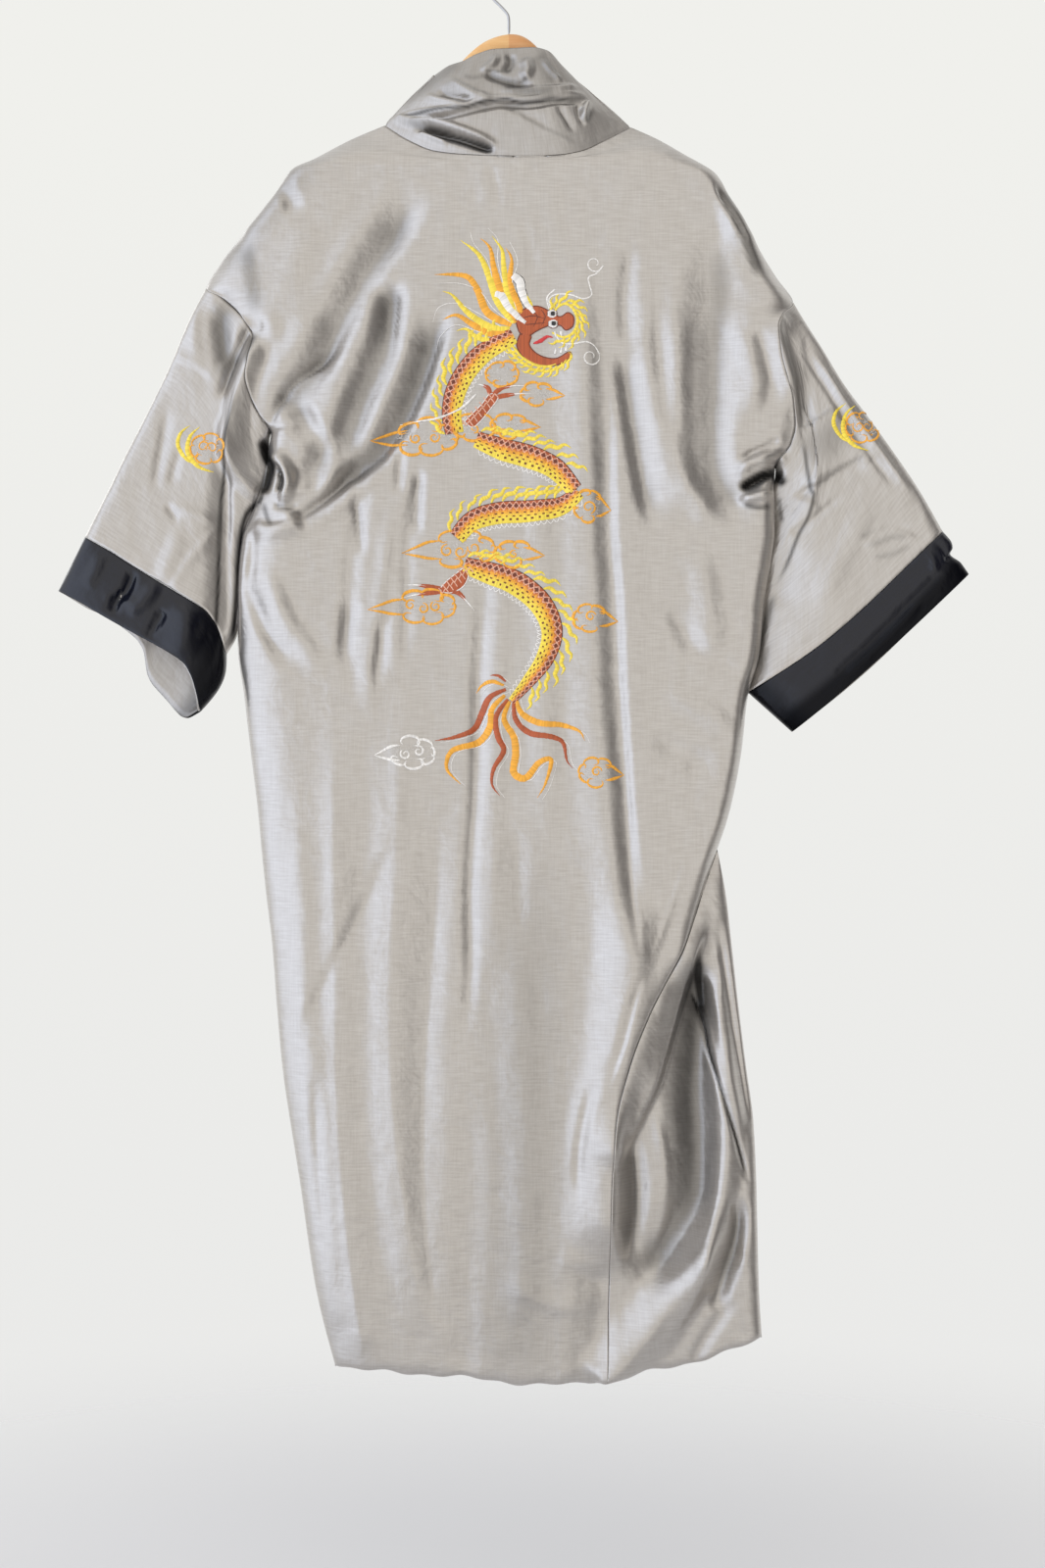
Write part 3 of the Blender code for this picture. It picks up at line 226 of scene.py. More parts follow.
# Folds and creases of the side that the picture shows. height is how far a ridge stands up, or a
# trough goes in; left and right are its widths on the two sides of its path, which runs down;
# sharp turns a soft roll into a crease; start and end are the shares of the path over which it dies
# out; lean, in a few rows, pushes the cloth to the right, so that a lip hangs over.
foldColumns = ("height", "left", "right", "sharp", "start", "end", "path", "lean")
hollowColumns = ("height", "left", "right", "start", "end", "path")
nearFolds = (
    # from the left shoulder down to the left underarm
    (6, 34, 30, 0.0, 0.3, 0.2, ((-117, 237), (-172, 335), (-207, 397), (-236, 448), (-251, 474))),
    (-11, 34, 24, 0.0, 0.2, 0.12, ((-88, 232), (-120, 284), (-148, 320), (-166, 350), (-179, 378),
        (-192, 408), (-212, 434), (-230, 458), (-250, 484))),
    (-5, 14, 4, 0.4, 0.3, 0.08, ((-172, 396), (-190, 418), (-220, 438), (-235, 458), (-251, 485))),
    (5, 24, 22, 0.1, 0.25, 0.2, ((-131, 345), (-164, 407), (-184, 458), (-205, 500), (-230, 526))),
    (-12, 28, 18, 0.1, 0.1, 0.2, ((-122, 330), (-122, 370), (-127, 409), (-144, 448), (-158, 485),
        (-172, 520), (-188, 552))),
    (-8, 24, 16, 0.0, 0.15, 0.2, ((-224, 460), (-210, 481), (-197, 507), (-200, 531), (-214, 556))),
    (4, 20, 20, 0.1, 0.25, 0.15, ((-104, 345), (-122, 400), (-144, 455), (-162, 500), (-195, 538),
        (-234, 562))),
    (-13, 30, 16, 0.0, 0.2, 0.05, ((-62, 350), (-80, 405), (-96, 450), (-116, 490), (-150, 530),
        (-190, 566), (-226, 590))),
    (9, 16, 14, 0.1, 0.1, 0.3, ((-271, 580), (-269, 589), (-254, 596), (-240, 595), (-215, 587),
        (-189, 572), (-157, 548), (-130, 520)), 3),
    (6, 12, 12, 0.1, 0.2, 0.3, ((-254, 570), (-233, 578), (-206, 564), (-184, 541), (-150, 494))),
    # the pinch at the left underarm
    (-16, 9, 9, 0.1, 0.1, 0.15, ((-262, 496), (-257, 512), (-250, 526), (-253, 542), (-258, 556))),
    (12, 6, 12, 0.1, 0.15, 0.2, ((-252, 512), (-244, 518), (-235, 527), (-230, 541), (-233, 556),
        (-244, 564)), -3),
    (-5, 5, 5, 0.2, 0.15, 0.3, ((-246, 568), (-232, 571), (-220, 570))),
    (-8, 5, 5, 0.3, 0.2, 0.2, ((-242, 528), (-238, 541), (-242, 555))),
    # the body's fold that lies over the left sleeve, and the sleeve's own lobe under the arm
    (13, 20, 16, 0.1, 0.2, 0.25, ((-258, 388), (-266, 414), (-276, 442), (-287, 474), (-292, 512),
        (-284, 545)), -5),
    (-9, 10, 12, 0.2, 0.25, 0.2, ((-262, 372), (-276, 392), (-290, 424), (-303, 458))),
    (6, 12, 12, 0.2, 0.2, 0.2, ((-300, 470), (-296, 518), (-288, 542), (-277, 556), (-265, 562))),
    (7, 14, 14, 0.0, 0.3, 0.2, ((-268, 600), (-286, 640), (-290, 680), (-286, 716))),
    # the left sleeve: its inner strip under the arm, packing creases and small dents
    (-7, 18, 5, 0.3, 0.15, 0.05, ((-283, 443), (-294, 487), (-297, 506), (-300, 540), (-303, 565),
        (-305, 613), (-306, 654), (-309, 712))),
    (-4, 6, 24, 0.1, 0.2, 0.05, ((-300, 600), (-301, 650), (-303, 700))),
    (2.5, 5, 16, 0.6, 0.1, 0.2, ((-352, 409), (-340, 415), (-322, 424), (-307, 438))),
    (-8, 18, 16, 0.1, 0.25, 0.15, ((-302, 358), (-299, 392), (-294, 424))),
    (3, 14, 10, 0.2, 0.3, 0.3, ((-326, 350), (-330, 392), (-322, 420))),
    (-3, 9, 10, 0.3, 0.3, 0.3, ((-358, 462), (-364, 500), (-374, 560))),
    (-3, 7, 9, 0.4, 0.3, 0.3, ((-342, 500), (-350, 524), (-356, 548))),
    (-4, 6, 8, 0.5, 0.3, 0.3, ((-362, 566), (-354, 574), (-348, 586))),
    (2.5, 5, 12, 0.8, 0.15, 0.1, ((-309, 587), (-322, 606), (-340, 630), (-354, 657))),
    (2, 8, 10, 0.7, 0.2, 0.2, ((-362, 566), (-340, 572), (-309, 585))),
    (3, 14, 16, 0.1, 0.3, 0.2, ((-344, 590), (-356, 624), (-366, 650))),
    # the right sleeve: creases beside its top edge, flat packing folds and crumples at the cuff
    (2.5, 6, 6, 0.5, 0.2, 0.2, ((312, 398), (336, 432), (360, 470), (392, 512), (424, 557))),
    (-2.5, 6, 7, 0.4, 0.2, 0.2, ((306, 404), (330, 440), (353, 477), (384, 520), (412, 556))),
    (2.5, 20, 4, 0.7, 0.1, 0.15, ((305, 489), (322, 478), (344, 462))),
    (-3.5, 22, 5, 0.3, 0.1, 0.2, ((310, 560), (330, 540), (350, 528), (376, 516))),
    (-5, 6, 18, 0.2, 0.2, 0.3, ((282, 372), (290, 400), (300, 440), (308, 480), (310, 512))),
    (3, 4, 22, 0.6, 0.1, 0.2, ((317, 549), (338, 534), (353, 527), (376, 519), (394, 512))),
    (-3, 8, 6, 0.5, 0.1, 0.3, ((305, 598), (322, 580), (338, 566), (353, 554))),
    (3, 5, 9, 0.6, 0.15, 0.2, ((372, 612), (390, 605), (410, 599), (430, 601))),
    (-2.5, 5, 5, 0.6, 0.15, 0.2, ((368, 602), (388, 596), (408, 590), (426, 596))),
    (-3, 16, 18, 0.1, 0.3, 0.3, ((310, 608), (300, 640), (294, 680))),
    (3, 20, 20, 0.0, 0.3, 0.3, ((380, 560), (350, 620), (320, 680))),
    # soft troughs of the left shoulder
    (-4, 12, 5, 0.2, 0.3, 0.3, ((-248, 322), (-252, 353), (-260, 382), (-262, 400))),
    (4, 16, 16, 0.1, 0.3, 0.2, ((-200, 268), (-220, 314), (-244, 353), (-252, 407))),
    (-6, 12, 14, 0.1, 0.3, 0.3, ((-274, 284), (-270, 306), (-268, 330))),
    (-6, 18, 14, 0.1, 0.3, 0.3, ((-302, 334), (-290, 358), (-276, 376))),
    (-5, 12, 16, 0.1, 0.3, 0.3, ((-240, 226), (-232, 244), (-222, 266))),
    # from the right shoulder down to the right underarm
    (-8, 36, 26, 0.0, 0.2, 0.12, ((207, 262), (219, 302), (222, 345), (217, 403), (215, 461),
        (213, 504), (220, 540), (240, 566), (262, 580))),
    (5, 24, 20, 0.1, 0.25, 0.2, ((176, 300), (174, 400), (172, 469), (178, 530), (204, 568), (240, 590))),
    (10, 16, 34, 0.1, 0.15, 0.2, ((222, 236), (240, 290), (261, 337), (274, 381), (288, 435),
        (299, 479)), 5),
    (-7, 4, 18, 0.3, 0.15, 0.15, ((216, 228), (225, 256), (242, 296), (260, 340))),
    (-13, 8, 9, 0.3, 0.25, 0.2, ((240, 550), (255, 546), (270, 537), (284, 534), (294, 541))),
    (9, 9, 8, 0.1, 0.25, 0.2, ((238, 562), (252, 561), (268, 557), (284, 553))),
    (8, 9, 9, 0.1, 0.25, 0.2, ((236, 538), (250, 526), (268, 519), (284, 518), (294, 526))),
    (5, 20, 18, 0.0, 0.3, 0.3, ((240, 360), (252, 410), (256, 450), (238, 490))),
    (-5, 9, 7, 0.3, 0.3, 0.15, ((240, 522), (256, 513), (270, 507), (284, 498))),
    # shallow folds below the right shoulder
    (-3, 10, 16, 0.1, 0.25, 0.25, ((128, 293), (121, 350), (122, 410))),
    (-8, 16, 30, 0.1, 0.2, 0.2, ((118, 400), (128, 470), (138, 530), (152, 596))),
    (3, 18, 16, 0.0, 0.25, 0.25, ((146, 320), (144, 420), (152, 500), (164, 580))),
    (-3, 16, 16, 0.1, 0.3, 0.3, ((160, 376), (166, 448), (173, 489), (184, 528))),
    (3, 24, 20, 0.0, 0.3, 0.3, ((190, 600), (206, 650), (212, 700), (206, 760))),
    (-3, 16, 20, 0.1, 0.3, 0.3, ((170, 660), (186, 706), (214, 731), (244, 738))),
    (-3, 18, 16, 0.1, 0.3, 0.3, ((148, 810), (186, 829), (222, 846))),
    (3, 16, 16, 0.1, 0.3, 0.2, ((160, 760), (196, 780), (236, 800))),
    # the long folds down the middle and the right
    (5.5, 36, 26, 0.0, 0.2, 0.12, ((70, 270), (76, 448), (80, 603), (86, 744), (96, 864), (110, 960),
        (126, 1040), (138, 1080)), 2),
    (-3.2, 22, 5, 0.2, 0.3, 0.08, ((104, 400), (106, 500), (107, 592), (113, 667), (116, 744),
        (124, 864), (128, 960), (133, 1010), (138, 1054))),
    (3, 5, 46, 0.1, 0.25, 0.2, ((112, 420), (114, 592), (120, 667), (123, 744), (130, 864), (138, 939),
        (144, 1020))),
    (-4, 12, 11, 0.1, 0.25, 0.25, ((-23, 600), (-30, 716), (-34, 860), (-40, 963), (-40, 1060),
        (-50, 1160))),
    (2.5, 16, 16, 0.1, 0.25, 0.25, ((-6, 560), (-10, 716), (-14, 900), (-18, 1080))),
    (2.5, 22, 22, 0.0, 0.3, 0.3, ((30, 420), (34, 600), (38, 780), (40, 960))),
    (-2, 10, 14, 0.2, 0.3, 0.3, ((8, 900), (10, 960), (12, 1020))),
    # the small pleats below the neck
    (-1.2, 6, 9, 0.7, 0.15, 0.4, ((-21, 212), (-17, 222), (-13, 238), (-10, 262))),
    (1, 12, 12, 0.1, 0.2, 0.4, ((-30, 214), (-26, 232), (-20, 262))),
    (-1.5, 8, 10, 0.5, 0.3, 0.4, ((12, 262), (22, 300), (28, 350))),
    (1, 14, 14, 0.0, 0.3, 0.4, ((40, 224), (44, 250), (50, 310))),
    # short dark dips where the swag meets the long folds, and the soft ones under the left arm
    (-4, 5, 9, 0.2, 0.2, 0.3, ((-161, 560), (-157, 590), (-155, 625))),
    (-4, 8, 8, 0.2, 0.3, 0.3, ((-112, 506), (-114, 530), (-116, 560))),
    (-5, 9, 6, 0.2, 0.15, 0.3, ((-92, 530), (-94, 560), (-96, 606))),
    (-3.5, 10, 12, 0.1, 0.3, 0.3, ((-132, 680), (-134, 720), (-142, 756))),
    (-3.5, 12, 12, 0.1, 0.3, 0.3, ((-164, 664), (-170, 700), (-176, 740))),
    (-6, 12, 14, 0.1, 0.2, 0.3, ((-278, 640), (-262, 683), (-242, 718), (-216, 738))),
    (4, 16, 16, 0.0, 0.3, 0.3, ((-258, 622), (-236, 683), (-207, 726), (-206, 756))),
    (-5, 8, 11, 0.1, 0.2, 0.3, ((-268, 590), (-270, 620), (-272, 656))),
    # long folds and the creases where the robe was folded flat, down the left
    (-3, 14, 16, 0.2, 0.25, 0.25, ((-157, 480), (-156, 550), (-163, 610), (-168, 700), (-160, 790))),
    (2.5, 18, 9, 0.4, 0.25, 0.25, ((-122, 560), (-130, 640), (-142, 720), (-146, 800))),
    (-2.5, 8, 14, 0.5, 0.25, 0.25, ((-94, 510), (-106, 600), (-108, 680), (-112, 760))),
    (3.4, 26, 46, 0.8, 0.2, 0.05, ((-182, 740), (-183, 900), (-182, 1040), (-180, 1182), (-170, 1325),
        (-151, 1470))),
    (-3, 12, 34, 0.6, 0.25, 0.25, ((-114, 900), (-138, 960), (-179, 1040), (-206, 1096), (-230, 1150))),
    (4.4, 40, 44, 0.8, 0.2, 0.12, ((-108, 745), (-113, 850), (-121, 980), (-125, 1088), (-121, 1200),
        (-108, 1301), (-93, 1396), (-76, 1434))),
    (-4, 34, 24, 0.8, 0.2, 0.12, ((-75, 860), (-74, 947), (-84, 1088), (-90, 1221), (-86, 1340),
        (-72, 1434))),
    (-2, 24, 22, 0.0, 0.25, 0.1, ((-150, 820), (-152, 1000), (-150, 1200), (-132, 1400))),
    (2.6, 22, 22, 0.0, 0.25, 0.05, ((-214, 860), (-216, 1050), (-206, 1220), (-186, 1440))),
    (-3, 12, 12, 0.3, 0.3, 0.3, ((-204, 1150), (-200, 1260), (-192, 1360))),
    (3, 30, 28, 0.0, 0.3, 0.1, ((4, 960), (10, 1100), (18, 1260), (14, 1430))),
    (-2.5, 24, 24, 0.0, 0.3, 0.05, ((-44, 1160), (-40, 1280), (-44, 1420), (-50, 1480))),
    # the bright roll at the lower right of the back, and the swags that end at it
    (14, 50, 46, 0.0, 0.3, 0.3, ((130, 960), (130, 1030), (126, 1100), (120, 1160), (114, 1220))),
    (21, 52, 26, 0.0, 0.45, 0.3, ((118, 1140), (110, 1200), (106, 1260), (105, 1320), (104, 1384))),
    (-3.5, 10, 10, 0.1, 0.3, 0.3, ((93, 1164), (83, 1195), (75, 1234), (73, 1272), (77, 1298))),
    (2.5, 14, 9, 0.2, 0.2, 0.3, ((50, 1352), (70, 1359), (92, 1361), (110, 1350))),
    (-1.5, 10, 8, 0.3, 0.2, 0.2, ((56, 1366), (78, 1374), (104, 1388))),
    (2.5, 16, 14, 0.1, 0.3, 0.2, ((-10, 1374), (37, 1400), (72, 1404), (104, 1390))),
    (1.2, 5, 8, 0.6, 0.3, 0.3, ((188, 932), (178, 964), (165, 999), (154, 1031), (147, 1050))),
    (-3, 12, 5, 0.3, 0.2, 0.3, ((138, 1060), (129, 1093), (120, 1128), (111, 1154), (101, 1179))),
    (10, 44, 9, 0.0, 0.15, 0.1, ((206, 1006), (194, 1040), (182, 1078), (172, 1112), (160, 1152),
        (150, 1182), (122, 1240), (108, 1266))),
    # the swags of the front that shows at the lower right
    (-14, 46, 22, 0.0, 0.08, 0.12, ((203, 1046), (202, 1100), (200, 1140), (199, 1190), (201, 1240),
        (199, 1290), (183, 1334), (160, 1368), (140, 1394))),
    (10, 18, 22, 0.0, 0.2, 0.25, ((218, 1120), (226, 1190), (227, 1261), (210, 1345), (172, 1410))),
    (20, 44, 28, 0.0, 0.3, 0.04, ((222, 1290), (204, 1352), (184, 1390), (156, 1424), (128, 1460),
        (98, 1496))),
    (1.5, 9, 8, 0.1, 0.25, 0.15, ((150, 1196), (162, 1240), (166, 1275), (162, 1318), (148, 1354))),
    (-4, 12, 14, 0.0, 0.2, 0.2, ((124, 1216), (134, 1262), (136, 1313), (124, 1366))),
    (-8, 12, 16, 0.2, 0.2, 0.2, ((238, 1290), (240, 1330), (226, 1380), (212, 1420))),
    (5.5, 14, 14, 0.0, 0.3, 0.2, ((214, 1330), (204, 1380), (176, 1430), (150, 1466))),
    (-4, 12, 12, 0.2, 0.3, 0.1, ((240, 1400), (216, 1430), (192, 1470))),
    # the slit between the layers at the right rim
    (-4, 4, 5, 0.3, 0.1, 0.15, ((190, 1078), (204, 1107), (211, 1141), (218, 1165), (227, 1195),
        (237, 1227), (248, 1266), (253, 1284))),
    (4, 10, 12, 0.1, 0.2, 0.2, ((206, 1040), (222, 1110), (236, 1180), (248, 1240))),
    (-4, 8, 8, 0.1, 0.2, 0.2, ((220, 1003), (234, 1096), (248, 1187), (257, 1233))),
)
# Folds of the fronts, on the side that hangs away from the picture
farFolds = (
    (-9, 24, 26, 0.1, 0.2, 0.05, ((-190, 300), (-170, 560), (-176, 820), (-168, 1140), (-150, 1470))),
    (9, 28, 22, 0.1, 0.2, 0.05, ((-120, 420), (-112, 700), (-118, 1000), (-104, 1470))),
    (8, 20, 26, 0.1, 0.2, 0.05, ((-232, 640), (-226, 900), (-206, 1200), (-178, 1460))),
    (-9, 26, 24, 0.1, 0.2, 0.05, ((176, 320), (164, 600), (172, 900), (160, 1200), (170, 1460))),
    (9, 24, 26, 0.1, 0.2, 0.05, ((112, 440), (118, 760), (108, 1060), (116, 1470))),
    (8, 26, 22, 0.1, 0.2, 0.05, ((226, 660), (216, 900), (214, 1180), (222, 1450))),
    (9, 22, 18, 0.1, 0.2, 0.3, ((-262, 560), (-200, 520), (-150, 440))),
    (9, 18, 22, 0.1, 0.2, 0.3, ((258, 580), (204, 530), (150, 450))),
    (-8, 12, 14, 0.2, 0.2, 0.3, ((-258, 535), (-214, 505), (-176, 440), (-150, 360))),
    (-8, 12, 14, 0.2, 0.2, 0.3, ((262, 560), (222, 520), (184, 460), (160, 380))),
    (7, 16, 16, 0.1, 0.3, 0.3, ((-250, 500), (-232, 440), (-224, 380), (-220, 320))),
    (7, 16, 16, 0.1, 0.3, 0.3, ((262, 530), (240, 470), (226, 400), (216, 330))),
    (-5, 10, 10, 0.3, 0.3, 0.1, ((-84, 560), (-80, 800), (-86, 1100), (-78, 1460))),
    (-5, 10, 10, 0.3, 0.3, 0.1, ((82, 600), (86, 860), (78, 1160), (84, 1460))),
    (5, 12, 6, 0.6, 0.3, 0.1, ((-146, 700), (-142, 960), (-136, 1220), (-126, 1460))),
    (5, 6, 12, 0.6, 0.3, 0.1, ((140, 720), (146, 980), (134, 1240), (140, 1460))),
    (6, 16, 16, 0.1, 0.3, 0.3, ((250, 1180), (210, 1260), (150, 1330), (90, 1370))),
    (-6, 14, 14, 0.1, 0.3, 0.3, ((246, 1230), (206, 1310), (140, 1380), (80, 1420))),
)
# Crumples of the collar at the back of the neck
collarFolds = (
    (3.2, 9, 6, 0.1, 0.1, 0.1, ((-131, 163), (-106, 157), (-61, 155), (-24, 147), (-3, 145), (23, 146),
        (49, 141), (84, 138))),
    (-3.4, 6, 8, 0.1, 0.1, 0.1, ((-125, 168), (-103, 163), (-61, 162), (-22, 154), (-3, 152), (23, 153),
        (49, 148), (86, 144))),
    (3.2, 6, 6, 0.1, 0.2, 0.15, ((-11, 138), (23, 136), (50, 134), (75, 130))),
    (6.0, 8, 7, 0.3, 0.1, 0.2, ((-122, 162), (-88, 166), (-52, 177), (-24, 188), (-8, 197))),
    (-6.4, 9, 6, 0.3, 0.2, 0.1, ((-101, 167), (-70, 180), (-47, 188), (-28, 195), (-14, 200))),
    (3.2, 6, 4, 0.4, 0.2, 0.2, ((-96, 176), (-78, 184), (-62, 192))),
    (-1.6, 5, 12, 0.5, 0.25, 0.35, ((-14, 150), (10, 160), (32, 170), (50, 180))),
    (-2.4, 5, 9, 0.5, 0.25, 0.3, ((49, 150), (58, 164), (68, 180))),
    (4.3, 6, 6, 0.3, 0.2, 0.3, ((84, 143), (80, 156), (77, 169))),
    (-3.5, 5, 5, 0.4, 0.2, 0.3, ((72, 148), (74, 160), (80, 172))),
    (4.3, 10, 8, 0.2, 0.25, 0.25, ((-66, 121), (-50, 132), (-33, 141), (-14, 144))),
    (-4.3, 9, 8, 0.2, 0.25, 0.25, ((-30, 112), (-14, 122), (4, 128), (28, 130))),
    (3.8, 7, 7, 0.2, 0.25, 0.25, ((-14, 92), (-16, 104), (-30, 116))),
    (4.6, 10, 10, 0.1, 0.25, 0.25, ((16, 98), (20, 112), (14, 124))),
    (-3.5, 8, 8, 0.2, 0.25, 0.25, ((0, 92), (2, 106), (-6, 118))),
    (2.9, 6, 6, 0.3, 0.25, 0.25, ((-90, 136), (-70, 146), (-44, 149))),
    (-3.2, 7, 6, 0.2, 0.25, 0.25, ((-76, 130), (-58, 142), (-36, 147))),
    (2.6, 5, 5, 0.4, 0.25, 0.25, ((34, 100), (44, 114), (56, 126))),
)

# Dark creases of the collar at the back of the neck. height is how much light they take away
collarHollows = (
    (0.75, 2.0, 2.6, 0.08, 0.1, ((-117, 161), (-77, 156.5), (-47, 155), (-32, 151), (-16, 148),
        (-1, 147), (12, 150), (29, 149), (45, 146), (66, 144), (83, 141))),
    (0.6, 5, 6, 0.35, 0.12, ((-121, 163), (-102, 168), (-81, 175.5), (-64, 182), (-47, 190), (-28, 197),
        (-11, 203))),
    (0.35, 13, 6, 0.2, 0.2, ((-5, 124), (6, 133), (29, 138), (52, 136))),
    (0.25, 16, 14, 0.2, 0.2, ((29, 92), (41, 111), (52, 128))),
    (0.4, 6, 6, 0.3, 0.2, ((88, 151), (84, 160), (79, 168))),
    (0.4, 1.6, 3, 0.15, 0.2, ((52, 158), (60, 169), (68, 181))),
    (0.2, 3, 4, 0.15, 0.2, ((3, 153), (24, 170), (60, 186), (76, 193))),
    (0.22, 12, 10, 0.2, 0.2, ((-120, 150), (-91, 126), (-62, 109), (-43, 105))),
    (0.4, 2, 3, 0.2, 0.2, ((-22, 113), (-8, 115), (5, 112))),
    (0.25, 4, 5, 0.2, 0.2, ((-48, 118), (-38, 122), (-28, 120))),
)

# Dents and ridges of the turned-up cuffs
cuffFolds = (
    (-6.5, 9, 9, 0.2, 0.15, 0.15, ((-392, 634), (-399, 655), (-411, 668), (-416, 684))),
    (5, 14, 12, 0.1, 0.25, 0.2, ((-368, 642), (-374, 659), (-386, 673), (-401, 680))),
    (-5, 8, 9, 0.2, 0.2, 0.15, ((-361, 676), (-368, 690), (-374, 700), (-379, 708))),
    (6.5, 28, 22, 0.1, 0.2, 0.15, ((-330, 668), (-334, 692), (-342, 714), (-352, 728))),
    (3, 14, 10, 0.1, 0.25, 0.2, ((-424, 616), (-432, 636), (-444, 656))),
    (4, 6, 7, 0.3, 0.1, 0.2, ((452, 600), (464, 606), (472, 616), (484, 628))),
    (-4, 5, 6, 0.4, 0.1, 0.2, ((444, 604), (456, 614), (462, 628))),
    (3, 6, 7, 0.3, 0.2, 0.2, ((432, 606), (444, 622), (448, 640))),
    (-2.5, 9, 9, 0.2, 0.1, 0.1, ((456, 636), (420, 672), (380, 712), (340, 748))),
    (2.5, 8, 10, 0.2, 0.2, 0.2, ((440, 660), (404, 700), (366, 738), (330, 768))),
)
# Painted shade: where the cloth folds in so deep that hardly any light comes out, and over a few broad
# stretches that get less light. height measures how much is painted dark
hollows = (
    (1.3, 9, 8, 0.1, 0.1, ((-258, 498), (-256, 514), (-250, 527), (-254, 541), (-258, 557))),
    (0.22, 40, 40, 0.3, 0.2, ((-190, 190), (-256, 244), (-310, 326))),
    (1.0, 4, 4, 0.15, 0.15, ((-242, 528), (-238, 541), (-242, 555))),
    (0.95, 6, 4, 0.1, 0.15, ((-257, 545), (-261, 562), (-273, 571), (-280, 586), (-284, 613),
        (-287, 654), (-290, 695), (-293, 722))),
    (0.85, 4, 3, 0.2, 0.1, ((-283, 443), (-294, 487), (-297, 506), (-300, 540), (-303, 565),
        (-305, 613), (-306, 654), (-309, 712))),
    (0.6, 4, 5, 0.2, 0.3, ((-258, 564), (-252, 584), (-245, 594))),
    (0.5, 3, 4, 0.15, 0.3, ((-246, 568), (-232, 571), (-220, 570))),
    (0.6, 6, 6, 0.2, 0.2, ((-266, 388), (-270, 404), (-274, 424))),
    (0.42, 14, 18, 0.2, 0.2, ((-304, 350), (-301, 390), (-298, 440))),
    (0.3, 14, 16, 0.25, 0.25, ((-276, 290), (-272, 316), (-268, 345), (-264, 372))),
    (0.25, 14, 8, 0.15, 0.3, ((-130, 345), (-132, 390), (-146, 430), (-164, 480))),
    (1.2, 9, 9, 0.12, 0.12, ((240, 553), (262, 539), (279, 536), (292, 547))),
    (0.7, 4, 5, 0.2, 0.2, ((244, 568), (262, 571), (276, 569))),
    (0.6, 3, 20, 0.2, 0.15, ((217, 228), (226, 256), (241, 296), (257, 336))),
    (0.22, 30, 24, 0.1, 0.3, ((306, 516), (339, 492), (372, 474))),
    (0.3, 3.6, 3.6, 0.15, 0.2, ((316, 551), (334, 538), (352, 526), (378, 512))),
    (0.25, 3.6, 3.6, 0.15, 0.2, ((304, 491), (322, 478), (344, 463))),
    (0.22, 5, 5, 0.2, 0.2, ((376, 612), (398, 602), (420, 600))),
    (0.22, 5, 5, 0.2, 0.2, ((380, 622), (402, 619), (424, 608))),
    (0.4, 4, 16, 0.2, 0.2, ((280, 376), (290, 412), (302, 450), (308, 490))),
    (0.7, 3, 4, 0.2, 0.2, ((307, 492), (316, 547), (320, 556), (314, 580), (304, 599), (293, 628),
        (280, 654))),
    (0.6, 4, 4, 0.2, 0.2, ((284, 556), (286, 572), (288, 586))),
    (0.5, 6, 8, 0.2, 0.2, ((280, 654), (268, 700), (258, 744))),
    (1.0, 2.6, 2.8, 0.1, 0.15, ((190, 1078), (204, 1107), (211, 1141), (218, 1165), (227, 1195),
        (237, 1227), (248, 1266), (253, 1284))),
    (0.7, 6, 8, 0.25, 0.2, ((200, 1030), (199, 1059), (203, 1087), (208, 1112))),
    (0.55, 30, 14, 0.05, 0.5, ((202, 1036), (198, 1080), (192, 1130), (187, 1190), (189, 1250),
        (186, 1310), (166, 1352), (148, 1380))),
    (0.5, 16, 16, 0.15, 0.3, ((124, 1240), (126, 1270), (128, 1313), (120, 1360))),
    (0.35, 12, 12, 0.3, 0.3, ((244, 1300), (238, 1344), (224, 1392))),
    # painted shade over the lower middle of the back, where less light falls
    (0.15, 80, 60, 0.3, 0.05, ((26, 880), (26, 1100), (20, 1300), (10, 1480))),
)


def roundPath(points, steps=8):  # more points along a smooth curve through a path's own points
    points = np.array(points, float)
    ends = np.vstack([points[:1], points, points[-1:]])
    t = (np.arange(steps) / steps)[:, None]
    runs = []
    for k in range(len(points) - 1):
        a, b, c, d = ends[k : k + 4]
        runs.append(0.5 * (2 * b + (c - a) * t + (2 * a - 5 * b + 4 * c - d) * t**2
                           + (3 * b - a - 3 * c + d) * t**3))
    return np.vstack(runs + [points[-1:]])


def readFolds(rows, columns=foldColumns):
    folds = [{"sharp": 0.0, "lean": 0, **dict(zip(columns, row))} for row in rows]
    for fold in folds:
        fold["path"] = roundPath(fold["path"])
    return folds


